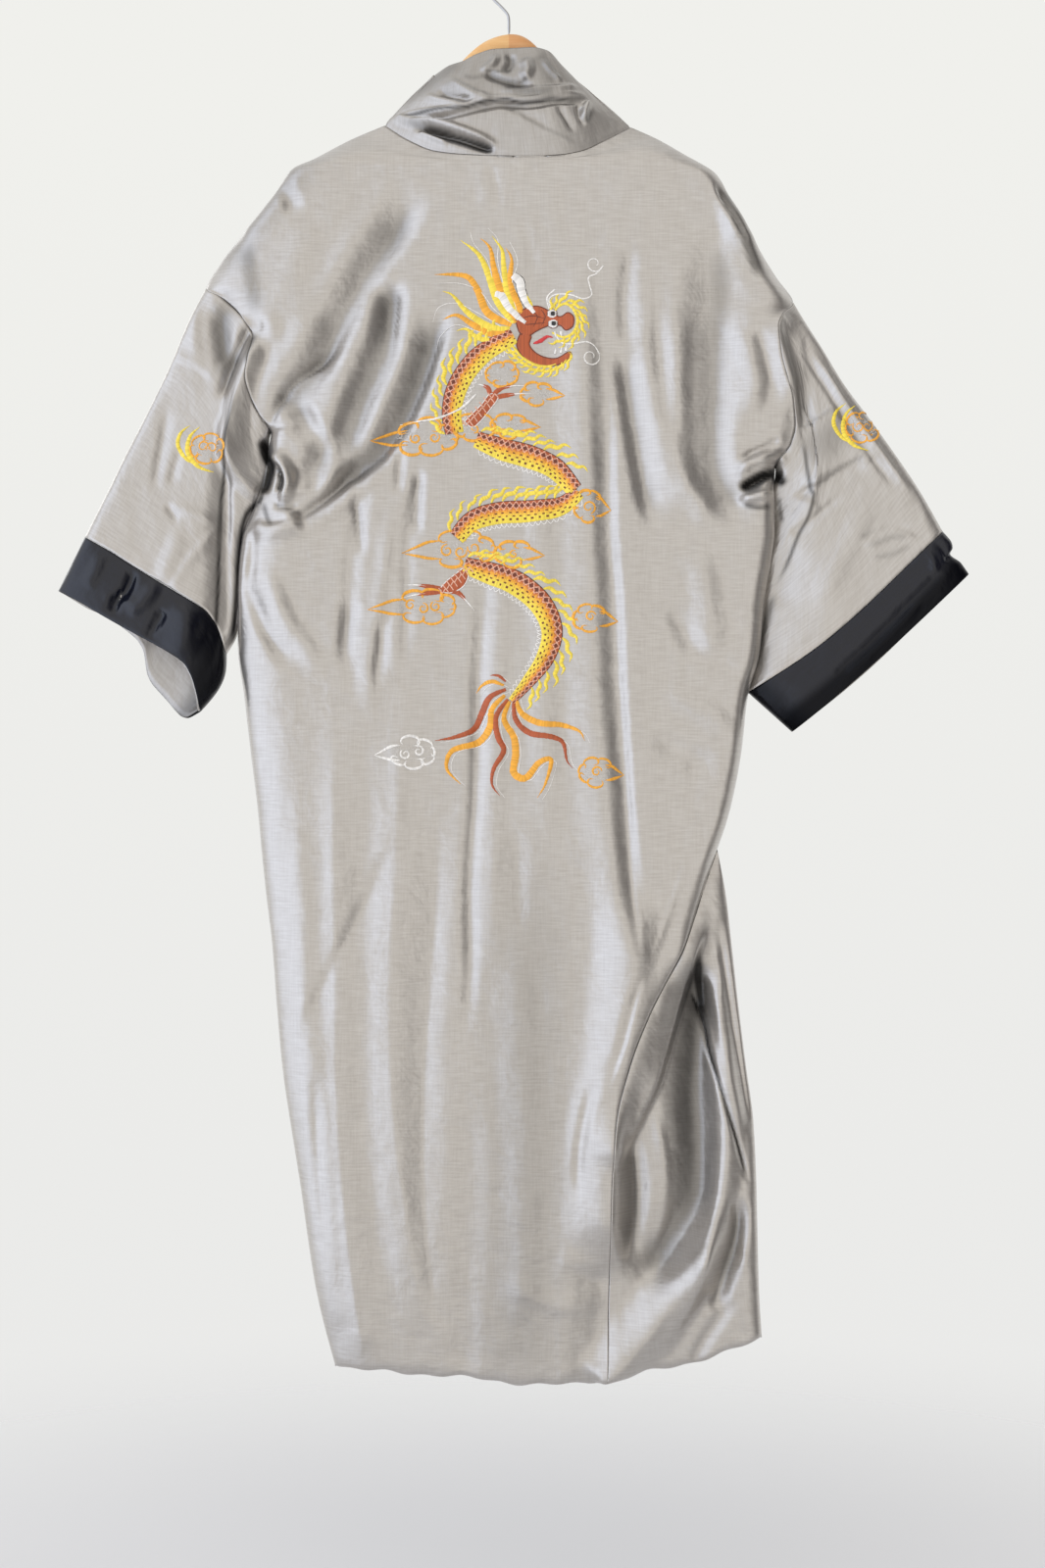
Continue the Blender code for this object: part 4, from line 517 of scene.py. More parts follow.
def relief(folds, x, drop):  # how far all folds lift the cloth and push it sideways at each place
    lift, pushX, pushDrop = np.zeros_like(x), np.zeros_like(x), np.zeros_like(x)
    for fold in folds:
        path = fold["path"]
        reach = max(fold["left"], fold["right"])
        low, high = path.min(0) - reach, path.max(0) + reach
        near = (x > low[0]) & (x < high[0]) & (drop > low[1]) & (drop < high[1])
        if not near.any():
            continue
        step = np.diff(path, axis=0)
        length = np.hypot(step[:, 0], step[:, 1])
        starts = np.concatenate([[0.0], np.cumsum(length)])
        awayX = x[near][:, None] - path[:-1, 0]
        awayDrop = drop[near][:, None] - path[:-1, 1]
        t = np.clip((awayX * step[:, 0] + awayDrop * step[:, 1]) / length**2, 0.0, 1.0)
        restX, restDrop = awayX - t * step[:, 0], awayDrop - t * step[:, 1]
        distance = np.hypot(restX, restDrop)
        k = distance.argmin(1)
        pick = (np.arange(len(k)), k)
        toRight = step[k, 0] * restDrop[pick] - step[k, 1] * restX[pick] < 0
        width = np.where(toRight, fold["right"], fold["left"])
        s = np.clip(distance[pick] / width, 0.0, 1.0)
        shape = lerp(1.0 - smooth(s), (1.0 - s) ** 2, fold["sharp"])
        along = (starts[k] + t[pick] * length[k]) / starts[-1]
        shape = shape * smooth(along / fold["start"]) * smooth((1.0 - along) / fold["end"])
        lift[near] += fold["height"] * shape
        pushX[near] += fold["lean"] * shape * step[k, 1] / length[k]
        pushDrop[near] -= fold["lean"] * shape * step[k, 0] / length[k]
    return lift, pushX, pushDrop


nearFolds, farFolds = readFolds(nearFolds), readFolds(farFolds)
collarFolds, cuffFolds = readFolds(collarFolds), readFolds(cuffFolds)
collarHollows, hollows = readFolds(collarHollows, hollowColumns), readFolds(hollows, hollowColumns)


# How hanging cloth ripples between its folds: height, span across and down in millimetres, and a start
ripples = ((1.5, 62.0, 380.0, 3.1), (0.7, 26.0, 170.0, 11.7), (0.28, 11.0, 62.0, 23.3))


def rippled(x, drop, seed):
    total = np.zeros_like(x)
    flat = total.reshape(-1)
    places = list(zip(x.reshape(-1).tolist(), drop.reshape(-1).tolist()))
    for height, spanX, spanDrop, start in ripples:
        flat += [height * noise.noise(Vector((a / spanX, b / spanDrop, start + seed))) for a, b in places]
    return total


def rowEnd(v, side):
    return between(rowNumbers, bodyRows[side + "X"], v), between(rowNumbers, bodyRows[side + "Drop"], v)


def slopeShare(v, side):  # turns a distance along a row into one square to the outline
    x0, drop0 = rowEnd(np.maximum(v - 0.05, 0.0), side)
    x1, drop1 = rowEnd(np.minimum(v + 0.05, lastRow), side)
    return np.maximum(0.25, np.abs(drop1 - drop0) / np.maximum(np.hypot(x1 - x0, drop1 - drop0), 1e-6))


def armholeShare(v):
    return (v - robe["armholeTop"]) / (robe["armholeBottom"] - robe["armholeTop"])


def armholeRound(v):
    q = armholeShare(v)
    return np.where((q >= 0) & (q <= 1), flatRound(np.clip(q, 0, 1)), 0.0)


def wrapped(v):
    return smooth((v - robe["wrapTop"]) / robe["turnRows"])


def hemTurn(v):
    return smooth((v - lastRow + robe["turnRows"]) / robe["turnRows"])


def hemRoll(v):  # how far the rolled hem has turned under
    s = np.clip((lastRow - v) * robe["hemRow"] / robe["hemRound"], 0.0, 1.0)
    return robe["hemRound"] * (1.0 - np.sqrt(1.0 - (1.0 - s) ** 2))


hemWaves = ((1.5, 15.0, 1.3), (1.1, 6.3, 0.0), (0.8, 31.0, 0.0))  # height, span and start of each wave


def hemWave(x):
    return sum(height * np.sin(x / span + start) for height, span, start in hemWaves)


def neckPlace(u, name):
    return between(np.arange(len(neckRows[name]), dtype=float), neckRows[name], u * (len(neckRows[name]) - 1))


def roundness(v):  # the radius at the body's outline, tighter towards the armholes
    tight = 1.0 - smooth((v - robe["armholeBottom"]) / robe["armholeOver"])
    return lerp(robe["edgeRound"], robe["armholeEdge"], tight * (1.0 - 0.4 * armholeRound(v)))


def backShape(u, v):  # u across from the left, v in body rows
    leftX, leftDrop = rowEnd(v, "left")
    rightX, rightDrop = rowEnd(v, "right")
    x, drop = lerp(leftX, rightX, u), lerp(leftDrop, rightDrop, u)
    fade = np.clip(1.0 - v / robe["neckRowsDeep"], 0.0, 1.0) ** 3
    (firstX, firstDrop), (lastX, lastDrop) = rowEnd(0.0, "left"), rowEnd(0.0, "right")
    x = x + (neckPlace(u, "seamX") - lerp(firstX, lastX, u)) * fade
    drop = drop + (neckPlace(u, "seamDrop") - lerp(firstDrop, lastDrop, u)) * fade
    drop = drop + between(rowNumbers, bodyRows["sag"], v) * 4.0 * u * (1.0 - u)
    drop = drop + robe["hemSag"] * np.sin(np.pi * u * u) * hemTurn(v)
    middle = lerp(robe["neckProud"], robe["backProud"], smooth(v / robe["neckFade"]))
    softness = armholeRound(v)
    edge = robe["armholeProud"] * softness
    fromLeft = (x - leftX) * slopeShare(v, "left")
    fromRight = (rightX - x) * slopeShare(v, "right")
    leftRise = edgeRise(fromLeft, roundness(v), softness)
    toRidge = smooth((v - robe["ridgeFrom"]) / robe["ridgeOver"])
    tight = lerp(np.minimum(roundness(v), robe["rightEdge"]), robe["ridgeRound"], toRidge)
    low = smooth((v - robe["seamFrom"]) / robe["seamOver"])
    rightRise = edgeRise(fromRight, lerp(tight, robe["seamRound"], low), np.maximum(softness, low))
    rightEdge = np.where(v >= robe["wrapTop"], between(rowNumbers, bodyRows["ridge"], v), edge)
    proud = middle + (edge - middle) * (1.0 - leftRise) + (rightEdge - middle) * (1.0 - rightRise)
    proud = proud - hemRoll(v)
    drop = drop + hemWave(x) * hemTurn(v)
    rightShelter = np.minimum(1.0, rightRise + np.maximum(softness, wrapped(v)))
    shelter = np.minimum(1.0, leftRise + softness) * rightShelter
    neck = robe["neckProud"] * (1.0 - np.abs(2.0 * u - 1.0) ** 2.4)
    top = smooth(v / robe["neckBlend"])
    return x, drop, lerp(neck, proud, top), shelter * top


def outward(side):  # the way out from the robe's middle along x
    return -1.0 if side == "left" else 1.0


def frontEdge(v, side):
    x = outward(side) * between(frontRows["row"], frontRows["seamOut"], v)
    return x, between(frontRows["row"], frontRows["seamDrop"], v)


def rimPlace(v):
    rows = robe["wrapTop"] + np.arange(len(rimRows["x"]), dtype=float)
    return between(rows, rimRows["x"], v), between(rows, rimRows["drop"], v)


def frontShape(side, u, v):  # u from the side of the robe to its front edge
    startX, startDrop = rowEnd(v, side)
    if side == "right":
        rimX, rimDrop = rimPlace(v)
        startX = np.where(v > robe["wrapTop"], rimX, startX)
        startDrop = np.where(v > robe["wrapTop"], rimDrop, startDrop)
    endX, endDrop = frontEdge(v, side)
    u = np.where(v > 0, u, 0.0)
    x, drop = lerp(startX, endX, u), lerp(startDrop, endDrop, u)
    softness = armholeRound(v)
    edge = robe["armholeProud"] * softness
    rise = edgeRise(np.abs(x - startX) * slopeShare(v, side), roundness(v), softness)
    turned = robe["frontProud"] * smooth(v / robe["frontTurnRows"])
    middle = lerp(turned, robe["frontProud"], smooth(4.0 * (1.0 - u)))
    proud = middle + (edge - middle) * (1.0 - rise)
    shelter = np.minimum(1.0, rise + softness) * smooth((1.0 - u) * 6.0) * smooth(v)
    return x, drop, proud, shelter


def wrapShape(u, v):  # the right front's stretch round the rim, u from the back's edge
    startX, startDrop = rowEnd(v, "right")
    rimX, rimDrop = rimPlace(v)
    x, drop = lerp(startX, rimX, u), lerp(startDrop, rimDrop, u)
    drop = drop + robe["hemSag"] * 4.0 * u * (1.0 - u) * hemTurn(v)
    span = np.hypot(rimX - startX, rimDrop - startDrop)
    deep = (v - robe["wrapTop"]) / (lastRow - robe["wrapTop"])
    floor = lerp(robe["wrapProud"], robe["wrapHemProud"], smooth(deep))
    fall = smooth(u * span / robe["ridgeFall"])
    rise = edgeRise((1.0 - u) * span, robe["rimRound"], 0.0)
    proud = lerp(between(rowNumbers, bodyRows["ridge"], v), floor, fall) * rise - hemRoll(v)
    drop = drop + hemWave(x) * hemTurn(v)
    return x, drop, proud, rise * lerp(wrapped(v), 1.0, fall)


def sections(side, t):
    rows = sleeveRows[side]
    knots = np.arange(len(rows["bow"]), dtype=float)
    return {name: between(knots, rows[name], t * (len(knots) - 1)) for name in rows}


sleeve = {
    "around": 72, "along": 84, "armholeFade": 0.8, "crispOver": 0.25,
    # the inner edge is tucked behind the body for most of the sleeve's length
    "tuck": 13.0, "tuckDeep": 7.0, "tuckFrom": 0.6, "tuckOver": 0.2, "tuckEnd": {"left": 0.9, "right": 0.86},
    "farRipple": 300.0, "rippleSeed": 40.0, "clothAround": 0.40, "clothDown": 0.25,
}


def bowed(q, bow):
    return bow * np.where(bow < 0, between(lobe["at"], lobe["out"], q), np.sin(np.pi * q**1.3))


def ringPlace(s, q, out):  # a place on a sleeve's section, q from the outer edge to the inner one
    alongX, alongDrop = s["innerX"] - s["outerX"], s["innerDrop"] - s["outerDrop"]
    length = np.hypot(alongX, alongDrop)
    turn = np.where(np.asarray(s["outerX"]) < 0, 1.0, -1.0) / length
    x = lerp(s["outerX"], s["innerX"], q) - alongDrop * turn * out
    return x, lerp(s["outerDrop"], s["innerDrop"], q) + alongX * turn * out


def armholeDrift(side, q):  # how far the armhole seam departs from a straight line
    top, bottom = float(robe["armholeTop"]), float(robe["armholeBottom"])
    x, drop = rowEnd(lerp(top, bottom, q), side)
    first, last = rowEnd(top, side), rowEnd(bottom, side)
    return x - lerp(first[0], last[0], q), drop - lerp(first[1], last[1], q)


def sleeveShape(side, q, facing, t):  # q round the section, facing -1 on the near side, t from the armhole
    s = sections(side, t)
    x, drop = ringPlace(s, q, bowed(q, s["bow"]))
    driftX, driftDrop = armholeDrift(side, q)
    fade = 1.0 - smooth(t / sleeve["armholeFade"])
    x, drop = x + driftX * fade, drop + driftDrop * fade
    lift, pushX, pushDrop = relief(nearFolds, x, drop)
    ripple = rippled(x + sleeve["farRipple"] * facing, drop, sleeve["rippleSeed"])
    near = facing < 0
    rounded = lerp(flatRound(q), crispRound(q), smooth(t / sleeve["crispOver"]))
    inner = smooth((q - sleeve["tuckFrom"]) / (1.0 - sleeve["tuckFrom"]))
    ended = smooth((t - sleeve["tuckEnd"][side]) / sleeve["tuckOver"])
    tucked = inner * smooth(t / sleeve["tuckOver"]) * (1.0 - ended)
    x = x - outward(side) * sleeve["tuck"] * tucked
    depth = s["halfDepth"] + np.where(near, lift, 0.0) + ripple * smooth(t / 0.1)
    x = x + np.where(near, pushX, 0.0) * rounded
    drop = drop + np.where(near, pushDrop, 0.0) * rounded
    return x, drop, -(facing * depth * rounded + s["setBack"] + sleeve["tuckDeep"] * tucked)


cuff = {
    "around": 72, "along": 26, "roll": 2.6, "foldGain": 1.5, "bulge": 9.0, "bulgeFrom": 0.8, "crushTo": 0.14,
    "liningAround": 52, "liningAlong": 14, "liningTop": 0.04, "liningEnd": 0.996, "rim": 0.03,
    "clothAround": 0.44, "clothDown": 0.06,
}


def cuffShape(side, q, facing, s):  # s from the sleeve's end to the mouth
    startX, startDrop, startProud = sleeveShape(side, q, facing, np.ones_like(q))
    mouth = mouths[side]
    far = between(pouch["at"], pouch["low"], q) if side == "left" else bowed(q, mouth["farBow"])
    section = {name: np.full_like(q, value) for name, value in mouth.items()}
    x, drop = ringPlace(section, q, np.where(facing < 0, bowed(q, mouth["nearBow"]), far))
    proud = -(facing * mouth["halfDepth"] * flatRound(q) + mouth["setBack"])
    x, drop, proud = lerp(startX, x, s), lerp(startDrop, drop, s), lerp(startProud, proud, s)
    inside = np.clip(s, 0.0, 1.0)
    swell = np.sin(np.pi * inside)
    if side == "left":
        x = x + cuff["bulge"] * swell * smooth((q - cuff["bulgeFrom"]) / (1.0 - cuff["bulgeFrom"]))
    else:
        x = x + between(crush["at"], crush["out"], inside) * (1.0 - smooth(q / cuff["crushTo"]))
    lift, _, _ = relief(cuffFolds, x, drop)
    roll = (cuff["roll"] + np.where(facing < 0, cuff["foldGain"] * lift, 0.0)) * swell ** 0.7
    return x, drop, proud - facing * flatRound(q) * roll


def inRoom(x, drop, proud):  # metres, with proud counted towards the side that the picture shows
    return np.stack([x * mm, -proud * mm, -drop * mm], axis=-1)


def selectOnly(piece):
    bpy.ops.object.select_all(action="DESELECT")
    piece.select_set(True)
    bpy.context.view_layer.objects.active = piece


def mergeDoubles(piece, reach, squares=False):  # squares joins triangles into faces of four corners
    selectOnly(piece)
    bpy.ops.object.mode_set(mode="EDIT")
    bpy.ops.mesh.select_all(action="SELECT")
    bpy.ops.mesh.remove_doubles(threshold=reach)
    if squares:
        bpy.ops.mesh.tris_convert_to_quads()
    bpy.ops.object.mode_set(mode="OBJECT")


def gridFaces(index):  # the corners of each cell of a grid of point numbers
    return np.stack([index[:-1, :-1], index[1:, :-1], index[1:, 1:], index[:-1, 1:]], axis=-1)


def clothPiece(name, node, points, spans, wall, material, shades, flip=False):
    # a grid of points becomes a shell with its wall on the inside, and UVs in metres of cloth
    high, wide = points.shape[:2]
    faces = gridFaces(np.arange(high * wide).reshape(high, wide)).reshape(-1, 4)
    if flip:
        faces = faces[:, ::-1]
    mesh = bpy.data.meshes.new(name)
    mesh.from_pydata(points.reshape(-1, 3).tolist(), [], faces.tolist())
    tones = mesh.attributes.new("shade", "FLOAT", "POINT")  # 1 is the cloth's own tone, less is in shadow
    tones.data.foreach_set("value", shades.reshape(-1))
    layer = mesh.uv_layers.new(name="cloth")
    corners = np.empty(len(mesh.loops), int)
    mesh.loops.foreach_get("vertex_index", corners)
    layer.data.foreach_set("uv", spans.reshape(-1, 2)[corners].reshape(-1).astype(np.float32))
    piece = bpy.data.objects.new(name, mesh)
    scene.collection.objects.link(piece)
    mergeDoubles(piece, 0.00004)
    outer = BVHTree.FromPolygons([v.co.copy() for v in mesh.vertices],
                                 [tuple(p.vertices) for p in mesh.polygons])
    solid = piece.modifiers.new("wall", "SOLIDIFY")
    solid.thickness = wall * mm
    solid.offset = -1.0
    bpy.ops.object.modifier_apply(modifier=solid.name)
    mesh.shade_smooth()
    mesh.materials.append(material)
    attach(piece, "root")
    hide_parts(node)
    return piece, outer


def rowsDown(spacing, lower=None):  # lower is a wider spacing for the rows below the waist
    leftX, leftDrop = bodyRows["leftX"], bodyRows["leftDrop"]
    rightX, rightDrop = bodyRows["rightX"], bodyRows["rightDrop"]
    places = [0.0]
    for k in range(lastRow):
        longest = max(math.hypot(leftX[k + 1] - leftX[k], leftDrop[k + 1] - leftDrop[k]),
                      math.hypot(rightX[k + 1] - rightX[k], rightDrop[k + 1] - rightDrop[k]))
        step = lower if lower and k >= robe["waist"] else spacing
        count = max(2, math.ceil(longest / step))
        places += [k + (j + 1) / count for j in range(count)]
    nearHem = [lastRow - far / robe["hemRow"] for far in (0.35, 1.2, 2.6, 4.6)]  # closer where it rolls under
    return np.array(sorted(places + nearHem))


def across(count, gather=0.4):  # places from 0 to 1, closer together at both ends
    t = np.arange(count + 1) / count
    return lerp(t, 0.5 - 0.5 * np.cos(np.pi * t), gather)


def halfAcross(count, gather=0.4):  # places from 0 to 1, closer together at 0
    t = np.arange(count + 1) / count
    return lerp(t, 1.0 - np.cos(0.5 * np.pi * t), gather)


def shadeOf(lift, x=None, drop=None):  # painted shade: deep folds are painted darker than their depth alone makes them, and the hollows darker still
    tone = 1.0 - 0.5 * smooth((-lift - 3.0) / 10.0)
    return tone if x is None else tone * (1.0 - np.clip(relief(hollows, x, drop)[0], 0.0, 0.92))


def folded(shape, folds, seed):
    x, drop, proud, shelter = shape
    lift, pushX, pushDrop = relief(folds, x, drop)
    proud = proud + (lift + rippled(x, drop, seed)) * shelter
    tones = shadeOf(lift * shelter, x, drop) if folds is nearFolds else shadeOf(lift * shelter)
    lowest = robe["nearest"] - robe["deepest"] * shelter
    return x + pushX * shelter, drop + pushDrop * shelter, np.maximum(proud, lowest), tones


def settled(values, weight, rounds=90):  # evens out a grid of values where weight is more than 0
    for _ in range(rounds):
        mean = 0.25 * (values[:-2, 1:-1] + values[2:, 1:-1] + values[1:-1, :-2] + values[1:-1, 2:])
        values[1:-1, 1:-1] += weight[1:-1, 1:-1] * (mean - values[1:-1, 1:-1])
    return values


backCloth = {
    "across": 150, "rowStep": 3.75, "lowRowStep": 7.8, "rippleSeed": 0.0,
    # the corners above the armholes, where folds and outline meet, are evened out
    "cornerTop": 5.5, "cornerBottom": 9.0, "cornerFade": 1.5, "cornerWide": 0.22,
}


def makeBack(material):
    u, v = np.meshgrid(across(backCloth["across"]), rowsDown(backCloth["rowStep"], backCloth["lowRowStep"]))
    x, drop, proud, shades = folded(backShape(u, v), nearFolds, backCloth["rippleSeed"])
    begun = smooth((v - backCloth["cornerTop"]) / backCloth["cornerFade"])
    ended = smooth((v - backCloth["cornerBottom"]) / backCloth["cornerFade"])
    beside = 1.0 - smooth(np.minimum(u, 1.0 - u) / backCloth["cornerWide"])
    proud = settled(proud, begun * (1.0 - ended) * beside)
    points = inRoom(x, drop, proud)
    piece, outer = clothPiece("backPanel", "back", points, np.stack([x, -drop], -1) * mm, robe["clothWall"],
                              material, shades)
    return outer


frontCloth = {"across": 44, "wrapAcross": 64, "rowStep": 5.0, "rippleSeed": {"left": 7.0, "right": 13.0},
              "width": {"left": 0.30, "right": 0.36}, "area": {"left": 0.33, "right": 0.42}}


def makeFront(side, material):
    v = rowsDown(frontCloth["rowStep"])
    u, rows = np.meshgrid(halfAcross(frontCloth["across"]), v)
    x, drop, proud, shades = folded(frontShape(side, u, rows), farFolds, frontCloth["rippleSeed"][side])
    points = inRoom(x, drop, -proud)
    spans = np.stack([x, -drop], -1) * mm
    if side == "right":  # the stretch that wraps round to the back goes in front of the rest
        turnU, turnV = np.meshgrid(across(frontCloth["wrapAcross"])[:-1], v)
        below = turnV > robe["wrapTop"]
        wrap = wrapShape(turnU, np.maximum(turnV, robe["wrapTop"]))
        turnX, turnDrop, turnProud, turnShades = folded(wrap, nearFolds, backCloth["rippleSeed"])
        turn = inRoom(turnX, turnDrop, turnProud)
        turn = np.where(below[..., None], turn, points[:, :1])
        gap = np.where(below[:, 0], robe["seamGap"] * mm, 0.0)
        turn[:, 0, 0] += gap
        turnSpans = np.stack([2 * x[:, :1] - turnX, -turnDrop], -1) * mm
        turnSpans = np.where(below[..., None], turnSpans, spans[:, :1])
        points = np.concatenate([turn, points], axis=1)
        spans = np.concatenate([turnSpans, spans], axis=1)
        shades = np.concatenate([turnShades, shades], axis=1)
    piece, _ = clothPiece("frontPanel_" + side, "front_" + side, points, spans, robe["clothWall"],
                          material, shades, side == "left")


def ringPlaces(count):  # places round a tube, out along its near side and back along its far one
    q = across(count, 0.7)
    return np.concatenate([q, q[-2::-1]]), np.concatenate([np.full(count + 1, -1.0), np.full(count, 1.0)])


def ringGrid(around, along, shape):
    q, facing = ringPlaces(around)
    t = np.linspace(0.0, 1.0, along + 1)
    ring, rows = np.meshgrid(q, t)
    x, drop, proud = shape(ring, np.broadcast_to(facing, ring.shape), rows)
    return inRoom(x, drop, proud), np.meshgrid((np.arange(len(q)) + 1.0) / len(q), t)


def makeSleeve(side, material):
    gap = robe["seamGap"] / 250.0  # as a share of the sleeve's length
    points, (aroundShare, alongShare) = ringGrid(
        sleeve["around"], sleeve["along"],
        lambda q, facing, t: sleeveShape(side, q, facing, np.maximum(t, gap)))
    spans = np.stack([aroundShare * sleeve["clothAround"], -alongShare * sleeve["clothDown"]], -1)
    x, drop = points[..., 0] / mm, -points[..., 2] / mm
    lift, _, _ = relief(nearFolds, x, drop)
    piece, outer = clothPiece("sleeveTube_" + side, "sleeve_" + side, points, spans, robe["clothWall"],
                              material, shadeOf(lift, x, drop), side == "right")
    return outer


def cuffShades(side, around, along):  # painted shade on a cuff, around from the outer end to the inner one, along to the mouth
    if side == "left":  # painted shade where its inner end turns away from the window
        return 1.0 - 0.7 * smooth((around - 0.6) / 0.25)
    # painted shade along the right cuff's lower edge and at its inner end
    lowerEdge = smooth((along - 0.45 - 0.1 * around) / 0.25)
    return (0.9 - 0.6 * lowerEdge) * (1.0 - 0.55 * smooth((around - 0.8) / 0.12))


def makeCuff(side, material):
    start = robe["seamGap"] / 50.0  # as a share of the cuff's length
    points, (aroundShare, alongShare) = ringGrid(
        cuff["around"], cuff["along"], lambda q, facing, s: cuffShape(side, q, facing, lerp(start, 1.0, s)))
    spans = np.stack([aroundShare * cuff["clothAround"], -alongShare * cuff["clothDown"]], -1)
    around = np.minimum(1.0, 2.0 * np.minimum(aroundShare, 1.0 - aroundShare))
    piece, _ = clothPiece("cuffBand_" + side, "cuff_" + side, points, spans, robe["cuffWall"],
                          material, cuffShades(side, around, alongShare), side == "right")


def unit(way):
    return way / np.linalg.norm(way, axis=-1, keepdims=True)


def cuffOut(side, q, facing):  # the way out of a cuff's wall, in room directions
    lean = np.abs(2.0 * q - 1.0) ** 12
    edge = np.where(q < 0.5, 1.0, -1.0)
    return unit(np.stack([0.75 * outward(side) * edge * lean, facing * (1.0 - lean), 0.66 * edge * lean], -1))


def makeLining(side, material):  # the grey cloth inside a cuff, turned out at the mouth as a narrow rim
    inset = (robe["cuffWall"] + robe["layerGap"]) * mm
    q, facing = ringPlaces(cuff["liningAround"])
    s = np.linspace(cuff["liningTop"], cuff["liningEnd"], cuff["liningAlong"] + 1)
    ring, rows = np.meshgrid(q, s)
    sides = np.broadcast_to(facing, ring.shape)
    shown = np.where(sides < 0, smooth((ring - 0.7) / 0.06), 0.0) if side == "left" else 0.0
    points = inRoom(*cuffShape(side, ring, sides, rows * (1.0 + cuff["rim"] * shown)))
    points = points - cuffOut(side, ring, sides) * inset
    share, down = np.meshgrid(np.arange(len(q)) / len(q), s)
    spans = np.stack([share * cuff["clothAround"], -down * cuff["clothDown"]], -1)
    shades = 0.84 - 0.4 * smooth((ring - 0.84) / 0.1) * (sides > 0)  # painted shade over the lining, darkest deep in the pouch
    piece, _ = clothPiece("cuffLining_" + side, "cuff_facing_" + side, points, spans, robe["clothWall"],
                          material, shades, side == "right")


collar = {
    "rowStep": 9.0, "neckAcross": 168, "over": 64, "gather": 0.3, "bulge": 4.0,
    "crumple": 1.35, "ripple": 0.7, "rippleSeed": 61.0, "seamDip": 0.8, "seamDipTo": 0.05, "clothOver": 0.09,
    # its upper part rolls towards the neck and is painted a little darker there, as shade, and the whole neck
    # stretch is painted a little darker too
    "neckShade": 0.1, "rollShade": 0.15, "rollFrom": 0.42, "rollOver": 0.25, "darkest": 0.85,
}


def frontOut(v, side):
    turn = smooth(v / robe["frontTurnRows"])[..., None]
    return unit(np.array([0.5 * outward(side), 0.0, 0.86]) * (1.0 - turn) + np.array([0.0, 1.0, 0.0]) * turn)


def neckOut(u):
    lean = (np.abs(2.0 * u - 1.0) ** 2)[..., None]
    aside = np.stack([np.where(u < 0.5, -0.5, 0.5), np.zeros_like(u), np.full_like(u, 0.86)], -1)
    return unit(np.array([0.0, -1.0, 0.0]) * (1.0 - lean) + aside * lean)


def bandStations(side, v):  # seam, free edge, bulge and way out of the band down a front edge
    x, drop, proud, _ = frontShape(side, np.ones_like(v), v)
    corner = 0 if side == "left" else -1
    near = 1.0 - smooth(v)
    freeX = outward(side) * between(frontRows["row"], frontRows["freeOut"], v)
    freeX = lerp(freeX, neckRows["topX"][corner], near)
    freeDrop = lerp(between(frontRows["row"], frontRows["freeDrop"], v), neckRows["topDrop"][corner], near)
    free = inRoom(freeX, freeDrop, -between(frontRows["row"], frontRows["freeProud"], v))
    bulge = lerp(collar["bulge"], neckRows["bulge"][corner], near)
    return inRoom(x, drop, -proud), free, bulge, frontOut(v, side)


def neckStations(u):
    x, drop, proud, _ = backShape(u, np.zeros_like(u))
    free = inRoom(neckPlace(u, "topX"), neckPlace(u, "topDrop"), neckPlace(u, "topProud"))
    return inRoom(x, drop, proud), free, neckPlace(u, "bulge"), neckOut(u)


def makeCollar(material):
    v = rowsDown(collar["rowStep"])[1:]
    u = np.linspace(0.0, 1.0, collar["neckAcross"] + 1)
    left, neck, right = bandStations("left", v), neckStations(u), bandStations("right", v)
    seam, free, bulge, way = (np.concatenate([a[::-1], b, c]) for a, b, c in zip(left, neck, right))
    share = across(collar["over"], collar["gather"])
    gap = robe["seamGap"] * mm * (free - seam) / np.linalg.norm(free - seam, axis=-1, keepdims=True)
    seam = seam + gap
    points = seam[:, None] + (free - seam)[:, None] * share[None, :, None]
    points += way[:, None] * (bulge[:, None] * np.sin(np.pi * share))[..., None] * mm
    atNeck = np.zeros((len(seam), 1))
    atNeck[len(v) : len(v) + len(u)] = 1.0
    x, drop = points[..., 0] / mm, -points[..., 2] / mm
    lift, _, _ = relief(collarFolds, x, drop)
    shelter = smooth(share / 0.06) * smooth((1.0 - share) / 0.1)
    ripple = collar["ripple"] * rippled(x, drop, collar["rippleSeed"])
    lift = (collar["crumple"] * lift * atNeck + ripple) * shelter
    lift -= collar["seamDip"] * (1.0 - smooth(share / collar["seamDipTo"]))
    points += way[:, None] * lift[..., None] * mm
    walk = np.concatenate([[0.0], np.cumsum(np.linalg.norm(np.diff(seam, axis=0), axis=-1))])
    spans = np.stack(np.broadcast_arrays(share[None] * collar["clothOver"], walk[:, None]), -1)
    rolled = smooth((share - collar["rollFrom"]) / collar["rollOver"])[None] * atNeck
    # painted shade: the collar's dark creases, its rolled upper part and the whole neck stretch
    dark = np.clip(relief(collarHollows, x, drop)[0], 0.0, collar["darkest"]) * atNeck
    shades = 1.0 - (collar["neckShade"] + collar["rollShade"] * rolled) * atNeck
    shades = shades * shadeOf(2.0 * lift) * (1.0 - dark)
    piece, _ = clothPiece("collarBand", "collar", points, spans, robe["collarWall"],
                          material, shades)


def nodeCopy(node, name):  # a CAD node's shape as one joined skin that can be worked on
    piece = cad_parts[node].copy()
    piece.data = piece.data.copy()
    piece.name = piece.data.name = name
    piece.parent = None
    scene.collection.objects.link(piece)
    mergeDoubles(piece, 0.00001, squares=True)
    return piece


hanger = {"rounding": 2, "barGrowth": 2.0}  # levels of rounding, and the 2 mm that they take off the bar


